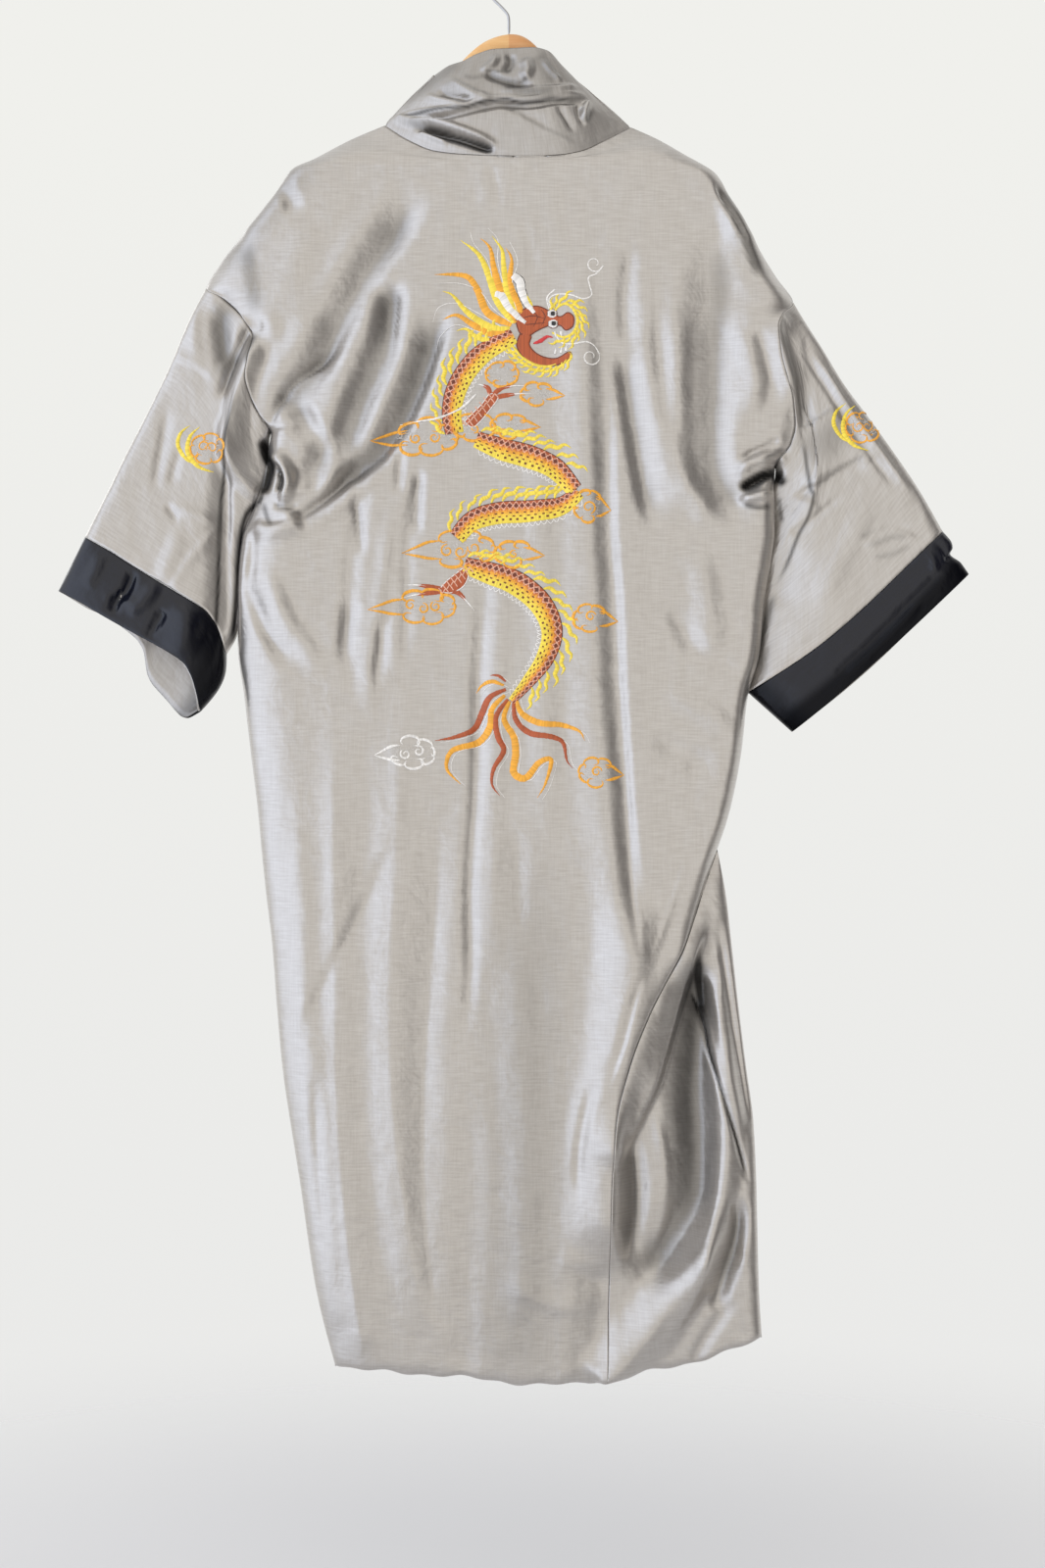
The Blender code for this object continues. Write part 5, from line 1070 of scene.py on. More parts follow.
def makeHanger(wood, metal):
    for node, name, finish, slot in (("hanger_body", "hangerWood", wood, "beech"),
                                     ("hanger_hook", "hangerWire", metal, "steel_wire")):
        piece = nodeCopy(node, name)
        rounder = piece.modifiers.new("rounder", "SUBSURF")
        rounder.levels = rounder.render_levels = hanger["rounding"]
        bpy.ops.object.modifier_apply(modifier=rounder.name)
        if node == "hanger_body":
            grower = piece.modifiers.new("grower", "DISPLACE")
            grower.strength = hanger["barGrowth"] * mm
            grower.mid_level = 0.0
            bpy.ops.object.modifier_apply(modifier=grower.name)
        piece.data.shade_smooth()
        piece.data.materials.clear()
        piece.data.materials.append(finish)
        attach(piece, "root")
        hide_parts(node)


def colour(hexCode):  # an sRGB hex code as the linear colour that a shader takes
    shares = [int(hexCode[k : k + 2], 16) / 255 for k in (1, 3, 5)]
    return tuple(s / 12.92 if s <= 0.04045 else ((s + 0.055) / 1.055) ** 2.4 for s in shares) + (1.0,)


def feed(tree, node, values):  # each value is a socket to link from, or a plain one to set
    for name, value in values.items():
        if isinstance(value, bpy.types.NodeSocket):
            tree.links.new(value, node.inputs[name])
        else:
            node.inputs[name].default_value = value


def addNode(tree, kind, values=None, **settings):
    node = tree.nodes.new(kind)
    for name, value in settings.items():
        setattr(node, name, value)
    feed(tree, node, values or {})
    return node


def newFinish(name):
    material = bpy.data.materials.new(name)
    material.use_nodes = True
    tree = material.node_tree
    return material, tree, tree.nodes["Principled BSDF"]


# The robe's cloth is satin: long floats of shiny thread lie side by side, so it mirrors the window as a
# streaked, silky band and goes dark where it turns away. slubs and warp are cells in a metre of cloth, across
# and down: a slub is 21 mm long and 1.8 mm high, a warp streak is 1.6 mm wide and 33 mm long. Real threads
# are about 0.1 mm wide, too fine to show, so both are drawn coarser. A crumple is 33 mm wide, and crush and
# thread are how far crumples and threads stand out, in metres.
greySatin = {"dark": "#B7B2AD", "light": "#C6C2BE", "metallic": 0.8, "roughness": 0.36,
             "anisotropic": 0.55, "sheen": 0.08, "crush": 0.0022, "thread": 0.00002, "specular": 0.5}
# The cuffs are the same weave dyed blue-black: nearly no colour of its own, and tight bright glints
blackSatin = {"dark": "#070A17", "light": "#0C1020", "metallic": 0.1, "roughness": 0.25,
              "anisotropic": 0.4, "sheen": 0.0, "crush": 0.0024, "thread": 0.00001, "specular": 0.58}
weave = {"slubs": (48.0, 560.0, 1.0), "slubDetail": 3.0, "warp": (620.0, 30.0, 1.0), "warpDetail": 2.0,
         "warpShare": 0.45, "crumples": 30.0, "sheenRoughness": 0.4, "turn": 0.25}


def clothFinish(name, look):
    material, tree, shader = newFinish(name)
    place = addNode(tree, "ShaderNodeUVMap", uv_map="cloth").outputs["UV"]
    streaks = []
    for scale, detail in ((weave["slubs"], weave["slubDetail"]), (weave["warp"], weave["warpDetail"])):
        spread = addNode(tree, "ShaderNodeMapping", {"Vector": place, "Scale": scale})
        streaks.append(addNode(tree, "ShaderNodeTexNoise", {
            "Vector": spread.outputs[0], "Scale": 1.0, "Detail": detail}).outputs["Fac"])
    slub, warp = streaks
    both = addNode(tree, "ShaderNodeMath", {
        0: warp, 1: weave["warpShare"], 2: slub}, operation="MULTIPLY_ADD")
    share = addNode(tree, "ShaderNodeMapRange", {"Value": both.outputs[0], "From Min": 0.5, "From Max": 0.95})
    tint = addNode(tree, "ShaderNodeMix", {
        0: share.outputs["Result"], 6: colour(look["dark"]), 7: colour(look["light"])}, data_type="RGBA")
    # the painted shade darkens the cloth's colour and its shine
    tone = addNode(tree, "ShaderNodeAttribute", attribute_name="shade").outputs["Fac"]
    deep = addNode(tree, "ShaderNodeMix", {
        0: tone, 6: (0.0, 0.0, 0.0, 1.0), 7: tint.outputs[2]}, data_type="RGBA")
    shine = addNode(tree, "ShaderNodeMath", {0: tone, 1: look["specular"]}, operation="MULTIPLY")
    crush = addNode(tree, "ShaderNodeTexNoise", {
        "Vector": place, "Scale": weave["crumples"], "Detail": 3.0, "Roughness": 0.5, "Distortion": 0.3})
    thread = addNode(tree, "ShaderNodeBump", {
        "Height": both.outputs[0], "Distance": look["thread"], "Strength": 1.0})
    soft = addNode(tree, "ShaderNodeBump", {
        "Height": crush.outputs["Fac"], "Distance": look["crush"], "Strength": 1.0,
        "Normal": thread.outputs[0]})
    tangent = addNode(tree, "ShaderNodeTangent", direction_type="UV_MAP", uv_map="cloth")
    feed(tree, shader, {
        "Base Color": deep.outputs[2], "Metallic": look["metallic"], "Roughness": look["roughness"],
        "Anisotropic": look["anisotropic"], "Anisotropic Rotation": weave["turn"],
        "Tangent": tangent.outputs[0], "Normal": soft.outputs[0], "Sheen Weight": look["sheen"],
        "Sheen Roughness": weave["sheenRoughness"], "Specular IOR Level": shine.outputs[0],
    })
    return material


# The hanger's bar is beech under clear lacquer, in two halves that meet at the hook and differ a little in
# tone: warm, smooth wood with faint lines along it. A grain line is 56 mm long and 3.8 mm wide; beech's own
# flecks are under 1 mm wide, too fine to show, so they are drawn coarser.
beech = {"left": ("#DDA15C", "#F5CD95"), "right": ("#CF8C50", "#E8B47F"), "grain": (18.0, 260.0, 260.0),
         "joint": 0.0005, "roughness": 0.38}


def beechFinish():
    material, tree, shader = newFinish("lacqueredBeech")
    place = addNode(tree, "ShaderNodeTexCoord").outputs["Object"]
    grain = addNode(tree, "ShaderNodeMapping", {"Vector": place, "Scale": beech["grain"]})
    lines = addNode(tree, "ShaderNodeTexNoise", {"Vector": grain.outputs[0], "Scale": 1.0, "Detail": 4.0})
    parts = addNode(tree, "ShaderNodeSeparateXYZ", {"Vector": place})
    half = addNode(tree, "ShaderNodeMapRange", {
        "Value": parts.outputs["X"], "From Min": -beech["joint"], "From Max": beech["joint"]})
    tones = [addNode(tree, "ShaderNodeMix", {
        0: lines.outputs["Fac"], 6: colour(beech[side][0]), 7: colour(beech[side][1])}, data_type="RGBA")
        for side in ("left", "right")]
    halves = addNode(tree, "ShaderNodeMix", {
        0: half.outputs["Result"], 6: tones[0].outputs[2], 7: tones[1].outputs[2]}, data_type="RGBA")
    feed(tree, shader, {"Base Color": halves.outputs[2], "Roughness": beech["roughness"]})
    return material


# The hook is zinc-plated steel wire: a grey metal that shows the room as a soft, bright line along the bend
wire = {"colour": "#B4B4B6", "roughness": 0.3}


def wireFinish():
    material, tree, shader = newFinish("platedSteelWire")
    feed(tree, shader, {
        "Base Color": colour(wire["colour"]), "Metallic": 1.0, "Roughness": wire["roughness"]})
    return material


# The embroidery is rayon thread: fine bright strands, each row of stitches with a glow of its own, and a
# faint soft edge of fibres. Its stitches are laid as 1.3 mm steps; a real strand is 0.3 mm wide, too fine to
# show, so the strands are drawn coarser.
rayon = {"roughness": 0.42, "sheen": 0.2}


def threadFinish():
    material, tree, shader = newFinish("rayonThread")
    tint = addNode(tree, "ShaderNodeVertexColor", layer_name="threadColour").outputs["Color"]
    feed(tree, shader, {"Base Color": tint, "Roughness": rayon["roughness"], "Sheen Weight": rayon["sheen"]})
    return material


# Embroidery. Its charts count in stitches of 1.03 mm, from a corner up and left of the collar. step and fine
# are how close the places of a line and of a filled area lie, rise how far a thread stands out, clear the
# gap that keeps it off the satin, ragged how far a stitch runs over its line, and scale the length of one
# scale of the body, all in millimetres. glows are how unevenly rows and filled patches catch the light.
chart = {
    "stitch": 1.03, "middle": 519.0, "top": -35.0, "clear": 0.3, "step": 1.3, "fine": 0.9, "rise": 0.85,
    "ragged": 0.22, "thinnest": 0.45, "scale": 13.0, "rowGlow": (0.82, 1.1), "patchGlow": (0.78, 1.12),
    "tones": {"yellow": "#F8DD4C", "honey": "#F8CB44", "gold": "#F6AE35", "amber": "#DD8233",
              "rust": "#B5562B", "brown": "#70301B", "white": "#F1EDE8", "pink": "#EDB49A",
              "black": "#1D1A1A", "red": "#D8393C", "pale": "#CFCAC4"},
}
# The body's tones from its spine, which is row 0, to its belly, which is row 22, and its rows of dots
bodyBands = ((7.2, "rust"), (9.6, "amber"), (12.4, "gold"), (15.5, "honey"))
bodyDots = ((11.6, 0.0), (15.0, 0.5), (18.2, 0.0))
# One hooked lobe of a cloud, the line of its tail, and one tuft of the fringe along the spine
lobeHook = ((-0.16, -0.28), (-0.44, -0.30), (-0.58, 0.15), (-0.42, 0.74), (0.0, 1.0), (0.42, 0.76),
            (0.56, 0.25), (0.44, -0.12))
tailLine = ((0.55, 0.0), (0.95, 0.12), (1.3, 0.5), (1.75, 1.0))
flame = ((0.0, -0.35), (0.40, -0.05), (0.50, 0.45), (0.85, 0.75), (0.80, 1.25))


def chartPlace(points):
    points = np.array(points, float)
    return (points - np.array([chart["middle"], chart["top"]])) * chart["stitch"]


def onChart(place):  # a place in millimetres, back in stitches
    return place[0] / chart["stitch"] + chart["middle"], place[1] / chart["stitch"] + chart["top"]


def evenly(path, step):  # the path again, with places an even step apart, and the share along of each
    walk = np.concatenate([[0.0], np.cumsum(np.hypot(*np.diff(path, axis=0).T))])
    count = max(3, int(walk[-1] / step))
    at = np.linspace(0.0, walk[-1], count + 1)
    return np.stack([np.interp(at, walk, path[:, 0]), np.interp(at, walk, path[:, 1])], -1), at / walk[-1]


def squareTo(path):  # the way to a path's left, looking along it
    ahead = np.gradient(path, axis=0)
    return np.stack([ahead[:, 1], -ahead[:, 0]], -1) / np.hypot(*ahead.T)[:, None]


class Threads:  # the stitches of one area, gathered before they are laid on the cloth
    def __init__(self, seed):
        self.places, self.faces, self.tones, self.glows, self.count = [], [], [], [], 0
        self.random = random.Random(seed)

    def grid(self, places, tones):  # places in rows, each with its rise last; one tone for each cell
        high, wide = places.shape[:2]
        self.places.append(places.reshape(-1, 3))
        index = self.count + np.arange(high * wide).reshape(high, wide)
        self.faces += gridFaces(index).reshape(-1, 4).tolist()
        self.tones += tones.reshape(-1).tolist()
        for _ in range(high - 1):
            self.glows += [self.random.uniform(*chart["rowGlow"])] * (wide - 1)
        self.count += high * wide

    def stroke(self, points, width, tone, ends=(0.25, 0.0), fattest=0.35, lift=0.0):
        # one line of satin stitch, as wide as width at its fattest; ends are the widths at both ends
        path, t = evenly(chartPlace(roundPath(points)), chart["step"])
        before = lerp(ends[0], 1.0, np.sin(0.5 * np.pi * np.clip(t / fattest, 0, 1)))
        after = lerp(ends[1], 1.0, np.cos(0.5 * np.pi * np.clip((t - fattest) / (1 - fattest), 0, 1)) ** 0.8)
        wide = np.maximum(width * chart["stitch"] * np.where(t < fattest, before, after), chart["thinnest"])
        strands = np.array([-0.5, -0.25, 0.0, 0.25, 0.5]) if width > 2.2 else np.array([-0.5, 0.0, 0.5])
        rag = np.array([[self.random.uniform(-1, 1) for _ in strands] for _ in t]) * chart["ragged"]
        rag = np.where(np.abs(strands) > 0.4, rag, 0.0) * min(1.0, width / 4)
        spread = strands[None] * wide[:, None] + rag
        places = path[:, None] + squareTo(path)[:, None] * spread[..., None]
        rise = (1.0 - (2.0 * strands[None]) ** 2) * np.minimum(chart["rise"], 0.3 * wide)[:, None] + lift
        tones = np.full((len(t) - 1, len(strands) - 1), tone, object)
        self.grid(np.concatenate([places, rise[..., None]], -1), tones)

    def body(self, points, widths):  # the scaled body: a netted rust spine, then gold, then a yellow belly
        path, t = evenly(chartPlace(roundPath(points)), chart["fine"])
        wide = np.interp(t, np.linspace(0, 1, len(widths)), widths) * chart["stitch"]
        strands = np.linspace(-0.5, 0.5, 33)
        side = squareTo(path)
        places = path[:, None] + side[:, None] * (strands[None] * wide[:, None])[..., None]
        rise = np.sqrt(np.maximum(0.0, 1.0 - (2.0 * strands[None]) ** 4)) * chart["rise"] * 1.2
        rise = rise + 0 * wide[:, None]
        walk = (t * len(t) * chart["fine"])[:-1, None] / chart["scale"] + 0 * strands[None, :-1]
        row = (0.5 - 0.5 * (strands[:-1] + strands[1:]))[None] * 22 + 0 * walk
        zig, zag = (np.abs((walk + shift) % 1.0 - 0.5) * 2.0 for shift in (0.0, 0.5))
        rag = np.array([[self.random.uniform(-1.3, 1.3)] for _ in range(len(walk))])
        tones = np.full(row.shape, "yellow", object)
        for limit, tone in reversed(bodyBands):
            tones[row < limit + rag] = tone
        tones[np.abs(row - 4.9) < 2.2 - 3.4 * np.minimum(zig, zag)] = "brown"
        net = np.minimum(np.abs(row - 1.2 - zig * 7.6), np.abs(row - 1.2 - zag * 7.6))
        tones[(row < 9.4) & (net < 0.65)] = "pink"
        for line, shift in bodyDots:
            dot = np.abs(((1.7 * walk + shift) % 1.0) - 0.5) < 0.17
            tones[dot & (np.abs(row - line) < 0.8)] = "brown"
        tones[row < 0.9] = "black"
        self.grid(np.concatenate([places, rise[..., None]], -1), tones)
        return path, side, wide, t

    def patch(self, outline, tone, edge=None):  # a filled shape of short stitches, with an outline thread
        shape = chartPlace(roundPath(list(outline) + [outline[0]], 6))
        low, high = shape.min(0), shape.max(0)
        cell = chart["fine"]
        x = np.arange(low[0] - cell, high[0] + 2 * cell, cell)
        y = np.arange(low[1] - cell, high[1] + 2 * cell, cell)
        gx, gy = np.meshgrid(x, y)
        inside = np.zeros(gx.shape, bool)
        away = np.full(gx.shape, 99.0)
        for (ax, ay), (bx, by) in zip(shape[:-1], shape[1:]):
            crosses = ((ay > gy) != (by > gy)) & (gx < (bx - ax) * (gy - ay) / (by - ay + 1e-9) + ax)
            inside ^= crosses
            length = max((bx - ax) ** 2 + (by - ay) ** 2, 1e-9)
            s = np.clip(((gx - ax) * (bx - ax) + (gy - ay) * (by - ay)) / length, 0, 1)
            away = np.minimum(away, np.hypot(gx - ax - s * (bx - ax), gy - ay - s * (by - ay)))
        rise = np.where(inside, np.minimum(away / 1.5, 1.0), 0.0) * chart["rise"]
        keep = inside | (away < 0.55 * cell)
        cells = keep[:-1, :-1] & keep[1:, :-1] & keep[1:, 1:] & keep[:-1, 1:]
        index = self.count + np.arange(gx.size).reshape(gx.shape)
        quads = gridFaces(index)[cells]
        self.places.append(np.stack([gx, gy, rise], -1).reshape(-1, 3))
        self.faces += quads.tolist()
        self.tones += [tone] * len(quads)
        stripes = [self.random.uniform(*chart["patchGlow"]) for _ in range(gx.shape[1])]
        self.glows += [stripes[quad[0] % gx.shape[1]] for quad in (quads - self.count).tolist()]
        self.count += gx.size
        if edge:
            self.stroke(list(outline) + [outline[0]], 1.0, edge, (1.0, 1.0), 0.5, 0.45)

    def curl(self, middle, radius, turns, start, width, tone):  # a line that winds inwards from start degrees
        count = 12 * abs(turns)
        points = []
        for k in range(int(count) + 1):
            angle = math.radians(start) + 2 * math.pi * turns * (k / count)
            far = radius * (1.0 - 0.72 * (k / count))
            points.append((middle[0] + far * math.cos(angle), middle[1] + far * math.sin(angle)))
        self.stroke(points, width, tone, (0.5, 0.4), 0.4)

    def cloud(self, middle, size, lobes, tone, width=3.0, tail=0, curls=2):
        # hooked lobes round an oval, and a pointed tail to the left (-1) or to the right (1)
        cx, cy = middle
        angles = [2 * math.pi * (k / lobes) + 0.3 for k in range(lobes + 1)]
        for start, end in zip(angles, angles[1:]):
            if tail * math.cos(0.5 * (start + end)) > 0.72:
                continue
            a, b = ((cx + size[0] * math.cos(angle), cy + size[1] * math.sin(angle))
                    for angle in (start, end))
            mx, my = 0.5 * (a[0] + b[0]), 0.5 * (a[1] + b[1])
            chord = math.hypot(b[0] - a[0], b[1] - a[1])
            ox, oy = (b[1] - a[1]) / chord, -(b[0] - a[0]) / chord
            bulge = chord * self.random.uniform(0.34, 0.5)
            turn = self.random.choice((-1, 1))
            points = [(mx - oy * chord * out * turn + ox * bulge * high,
                       my + ox * chord * out * turn + oy * bulge * high) for out, high in lobeHook]
            self.stroke(points, width * self.random.uniform(0.8, 1.2), tone, (0.15, 0.1), 0.55)
        for rise in (-0.75, 0.8) if tail else ():
            points = [(cx + tail * size[0] * far, cy + size[1] * rise * (1.0 - share) + size[1] * 0.3 * share)
                      for far, share in tailLine]
            self.stroke(points, width, tone, (0.2, 0.0), 0.4)
        for k in range(curls):
            share = (k + 0.5) / curls * 2 - 1
            self.curl((cx + share * size[0] * 0.6, cy + self.random.uniform(-0.2, 0.2) * size[1]),
                      min(size) * 0.55, 1.2 * (1 if k % 2 else -1), self.random.uniform(0, 360),
                      width * 0.7, tone)
        for k in range(int(size[0] * 1.8)):  # faint hair lines that fill the cloud
            x = cx + self.random.uniform(-0.85, 0.85) * size[0]
            y = cy + self.random.uniform(-0.75, 0.75) * size[1]
            self.curl((x, y), self.random.uniform(2.0, 4.0), self.random.choice((-0.7, 0.7)),
                      self.random.uniform(0, 360), 0.55, "pale")

    def onto(self, name, skin, material):  # drops every place straight back onto the cloth
        places = np.concatenate(self.places)
        spots = []
        for x, drop, rise in places.tolist():
            hit, normal, _, _ = skin.ray_cast(Vector((x * mm, -0.3, -drop * mm)), Vector((0, 1, 0)))
            if hit is None:
                hit, normal, _, _ = skin.find_nearest(Vector((x * mm, -0.05, -drop * mm)))
            if normal.y > 0:
                normal = -normal
            spots.append(hit + normal * (rise + chart["clear"]) * mm)
        mesh = bpy.data.meshes.new(name)
        mesh.from_pydata(spots, [], self.faces)
        tint = mesh.color_attributes.new("threadColour", "FLOAT_COLOR", "CORNER")
        known = {tone: colour(code) for tone, code in chart["tones"].items()}
        shade = np.array([known[tone] for tone in self.tones], np.float32)
        shade[:, :3] *= np.array(self.glows, np.float32)[:, None]
        counts = np.repeat(np.arange(len(mesh.polygons)), [p.loop_total for p in mesh.polygons])
        tint.data.foreach_set("color", shade[counts].reshape(-1))
        piece = bpy.data.objects.new(name, mesh)
        scene.collection.objects.link(piece)
        selectOnly(piece)
        bpy.ops.object.mode_set(mode="EDIT")
        bpy.ops.mesh.select_mode(type="VERT")
        bpy.ops.mesh.select_all(action="SELECT")
        bpy.ops.mesh.delete_loose()
        bpy.ops.object.mode_set(mode="OBJECT")
        mesh.shade_smooth()
        mesh.materials.append(material)
        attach(piece, "root")


def fringe(threads, path, side, wide, t, gap, size, tone):  # flame-shaped tufts along the spine
    walk = t * len(t) * chart["fine"]
    for at in np.arange(gap * 0.5, walk[-1] - gap, gap):
        k = int(np.searchsorted(walk, at))
        ahead = np.array([-side[k][1], side[k][0]])
        root = path[k] + side[k] * wide[k] * 0.5
        grow = size * threads.random.uniform(0.85, 1.15)
        points = [onChart(root + side[k] * grow * out + ahead * grow * on) for out, on in flame]
        threads.stroke(points, grow * 0.29, tone, (0.35, 0.0), 0.35)


def scallops(threads, path, side, wide, t, gap, tone):  # small white loops along the belly
    walk = t * len(t) * chart["fine"]
    for at in np.arange(gap, walk[-1] - gap, gap):
        first, last = (int(np.searchsorted(walk, min(place, walk[-1]))) for place in (at, at + gap * 1.15))
        a, b = (path[k] - side[k] * wide[k] * 0.5 for k in (first, last))
        out = (0.5 * (a + b)) - side[first] * gap * 0.75
        threads.stroke([onChart(place) for place in (a, out, b)], 0.9, tone, (0.7, 0.7), 0.5)


# The traditional dragon among clouds: a neck, three bends and a long plumed tail
bends = (
    {"path": ((464, 444), (461, 424), (465, 402), (476, 381), (494, 362), (524, 345)),
     "widths": (19, 21, 21, 17)},
    {"path": ((486, 450), (512, 460), (540, 468), (566, 480), (586, 502)), "widths": (17, 23, 24, 22, 17)},
    {"path": ((466, 550), (482, 533), (508, 525), (542, 523), (572, 518), (590, 504)),
     "widths": (17, 22, 23, 21, 15)},
    {"path": ((474, 578), (500, 586), (528, 597), (552, 618), (563, 645), (556, 672), (539, 696), (522, 716)),
     "widths": (17, 23, 25, 24, 22, 19, 14, 8)},
)
mane = (  # tone, width and path of each lock
    ("yellow", 7, ((520, 338), (500, 336), (478, 322), (462, 304), (452, 300))),
    ("gold", 8, ((522, 334), (498, 322), (486, 296), (474, 284), (444, 283))),
    ("yellow", 8, ((524, 332), (508, 310), (498, 282), (488, 262), (470, 248))),
    ("gold", 8, ((526, 332), (512, 304), (504, 276), (500, 256), (490, 246))),
    ("yellow", 7, ((530, 330), (518, 304), (514, 276), (512, 258), (502, 244))),
    ("gold", 7, ((536, 330), (526, 308), (520, 290), (522, 268), (516, 256))),
    ("gold", 7, ((518, 342), (498, 342), (480, 332), (466, 324), (452, 328))),
    ("yellow", 6, ((516, 346), (500, 350), (486, 346), (476, 338), (466, 340))),
    ("yellow", 5, ((546, 326), (540, 312), (534, 300), (532, 286))),
)
hairs = (  # thin white lines over the mane
    ((524, 334), (504, 318), (490, 300), (470, 292), (448, 292)),
    ((526, 332), (506, 300), (498, 270), (484, 252), (480, 240)),
    ((528, 332), (516, 300), (508, 270), (508, 248), (498, 236)),
    ((518, 340), (488, 322), (466, 312), (448, 316), (442, 330)),
    ((514, 348), (486, 340), (466, 334), (450, 344), (446, 356)),
    ((530, 330), (522, 296), (528, 270), (520, 250)),
)
plumes = (  # tone, width and path of each plume of the tail
    ("rust", 6.5, ((516, 704), (500, 712), (492, 728), (484, 744), (466, 752), (444, 756))),
    ("gold", 7, ((515, 710), (502, 724), (500, 742), (488, 758), (462, 766), (456, 784), (470, 800))),
    ("rust", 6, ((518, 714), (506, 732), (508, 752), (514, 766), (504, 784), (502, 800), (510, 812))),
    ("gold", 7.5, ((520, 716), (514, 734), (524, 752), (526, 770), (524, 788), (536, 794), (550, 778),
        (562, 776), (556, 800), (548, 814))),
    ("rust", 6, ((524, 714), (526, 734), (540, 748), (562, 752), (574, 758), (578, 776), (584, 784))),
    ("gold", 6.5, ((526, 712), (532, 728), (550, 738), (572, 740), (590, 746), (596, 756))),
    ("gold", 4, ((514, 700), (502, 696), (492, 700), (486, 708))),
    ("rust", 3, ((516, 696), (508, 690), (500, 690))),
)
clouds = (  # middle, size, lobes, tone, the side of its tail, curls
    ((434, 448), (32, 10), 9, "gold", -1, 2), ((484, 438), (20, 8), 7, "gold", 0, 1),
    ((520, 436), (18, 7), 7, "gold", 1, 0), ((512, 384), (15, 9), 7, "gold", 0, 0),
    ((548, 404), (16, 7), 7, "gold", 1, 0), ((600, 518), (13, 13), 7, "gold", 1, 1),
    ((470, 562), (34, 12), 10, "gold", -1, 3), ((524, 566), (18, 8), 7, "gold", 1, 1),
    ((432, 620), (32, 10), 10, "gold", -1, 3), ((602, 632), (16, 10), 7, "gold", 1, 1),
    ((421, 768), (22, 10), 8, "white", -1, 2), ((608, 788), (16, 10), 7, "gold", 1, 1)
)


def dragonHead(threads):  # tufts, horns, jaws, lines of the face, eyes, tongue, teeth and whiskers
    for arc in (((564, 324), (569, 316), (577, 313), (585, 319), (589, 331), (585, 342), (575, 347),
                 (563, 342)),
                ((581, 362), (572, 370), (560, 376), (545, 374), (532, 366), (522, 354), (518, 346))):
        path, t = evenly(chartPlace(roundPath(arc)), chart["fine"])
        threads.stroke(arc, 3.4, "yellow", (0.5, 0.4), 0.5)
        fringe(threads, path, squareTo(path), np.zeros(len(t)), t, 6.0, 10.5, "yellow")
    for horn in (((536, 332), (526, 324), (518, 315), (512, 305), (505, 303)),
                 ((545, 322), (537, 312), (532, 300), (530, 290), (523, 284))):
        threads.stroke(horn, 10.2, "black", (0.55, 0.7), 0.8, -0.1)  # shows round the white as an outline
        threads.stroke(horn, 8.8, "white", (0.55, 0.7), 0.8, 0.5)
    for jaw in (((526, 330), (533, 319), (548, 315), (562, 321), (571, 326), (579, 322), (585, 327),
                 (584, 336), (577, 340), (571, 335), (560, 335), (548, 340), (538, 346), (530, 342)),
                ((530, 344), (538, 342), (542, 346), (540, 354), (546, 362), (556, 367), (568, 368),
                 (580, 362), (582, 367), (572, 374), (558, 376), (544, 373), (533, 366), (527, 355))):
        threads.patch(jaw, "rust", "brown")
    for line in (((534, 327), (544, 325), (556, 328)), ((536, 334), (546, 333), (556, 332)),
                 ((542, 320), (548, 326), (544, 336)), ((552, 319), (556, 326), (552, 335))):
        threads.stroke(line, 1.0, "brown", (0.6, 0.3), 0.4, 0.9)
    for x, y in ((563, 323), (564, 333)):
        threads.stroke(((x - 5.2, y), (x, y), (x + 5.2, y)), 9.8, "brown", (0.5, 0.5), 0.5, 0.3)
        threads.stroke(((x - 4.4, y), (x, y), (x + 4.4, y)), 8.4, "white", (0.55, 0.55), 0.5, 0.8)
        threads.stroke(((x - 1.2, y), (x + 1, y), (x + 3.2, y)), 4.6, "black", (0.7, 0.7), 0.5, 2.6)
    threads.stroke(((544, 353), (552, 350), (558, 346), (564, 347)), 4.0, "red", (0.4, 0.0), 0.4, 0.3)
    for x, y, way in ((566, 341, 1), (572, 341, 1), (566, 364, -1), (572, 363, -1), (577, 361, -1)):
        threads.stroke(((x, y), (x + 0.5, y + 3 * way), (x + 1, y + 6 * way)), 2.4, "white",
                       (1.0, 0.0), 0.2, 0.3)
    for path in (((562, 318), (560, 308), (568, 303), (582, 304), (594, 308), (603, 304), (601, 294),
                  (600, 286), (608, 282), (615, 274)),
                 ((566, 342), (572, 352), (584, 354), (598, 352), (606, 356), (611, 364)),
                 ((560, 318), (558, 306), (566, 298))):
        threads.stroke(path, 1.5, "white", (0.8, 0.9), 0.4)
    threads.stroke(((408, 434), (428, 432), (446, 429), (462, 423), (474, 416), (486, 404)), 2.8, "white",
                   (0.1, 0.5), 0.7, 0.5)
    threads.curl((606, 272), 9.0, 1.15, 15, 1.5, "white")
    threads.curl((602, 367), 9.5, 1.15, -15, 1.5, "white")


def leg(threads, thigh, toes):  # a scaled thigh, and toes that end in white claws
    threads.patch(thigh, "rust", "white")
    for k in range(7):
        x, y = lerp(thigh[0][0], thigh[3][0], k / 6) + 3, lerp(thigh[0][1], thigh[3][1], k / 6) + 2
        threads.stroke(((x - 5, y - 3), (x - 1, y + 2), (x + 2, y - 2), (x + 6, y + 3)), 1.1, "pink",
                       (1, 1), 0.5, 1.1)
    for toe in toes:
        threads.stroke(toe, 5.0, "rust", (0.9, 0.2), 0.3)
        (x, y), (endX, endY) = toe[-2:]
        threads.stroke(((x, y), (endX, endY), (2 * endX - x, 2 * endY - y + 2)), 1.6, "white",
                       (0.6, 0.0), 0.3, 0.4)


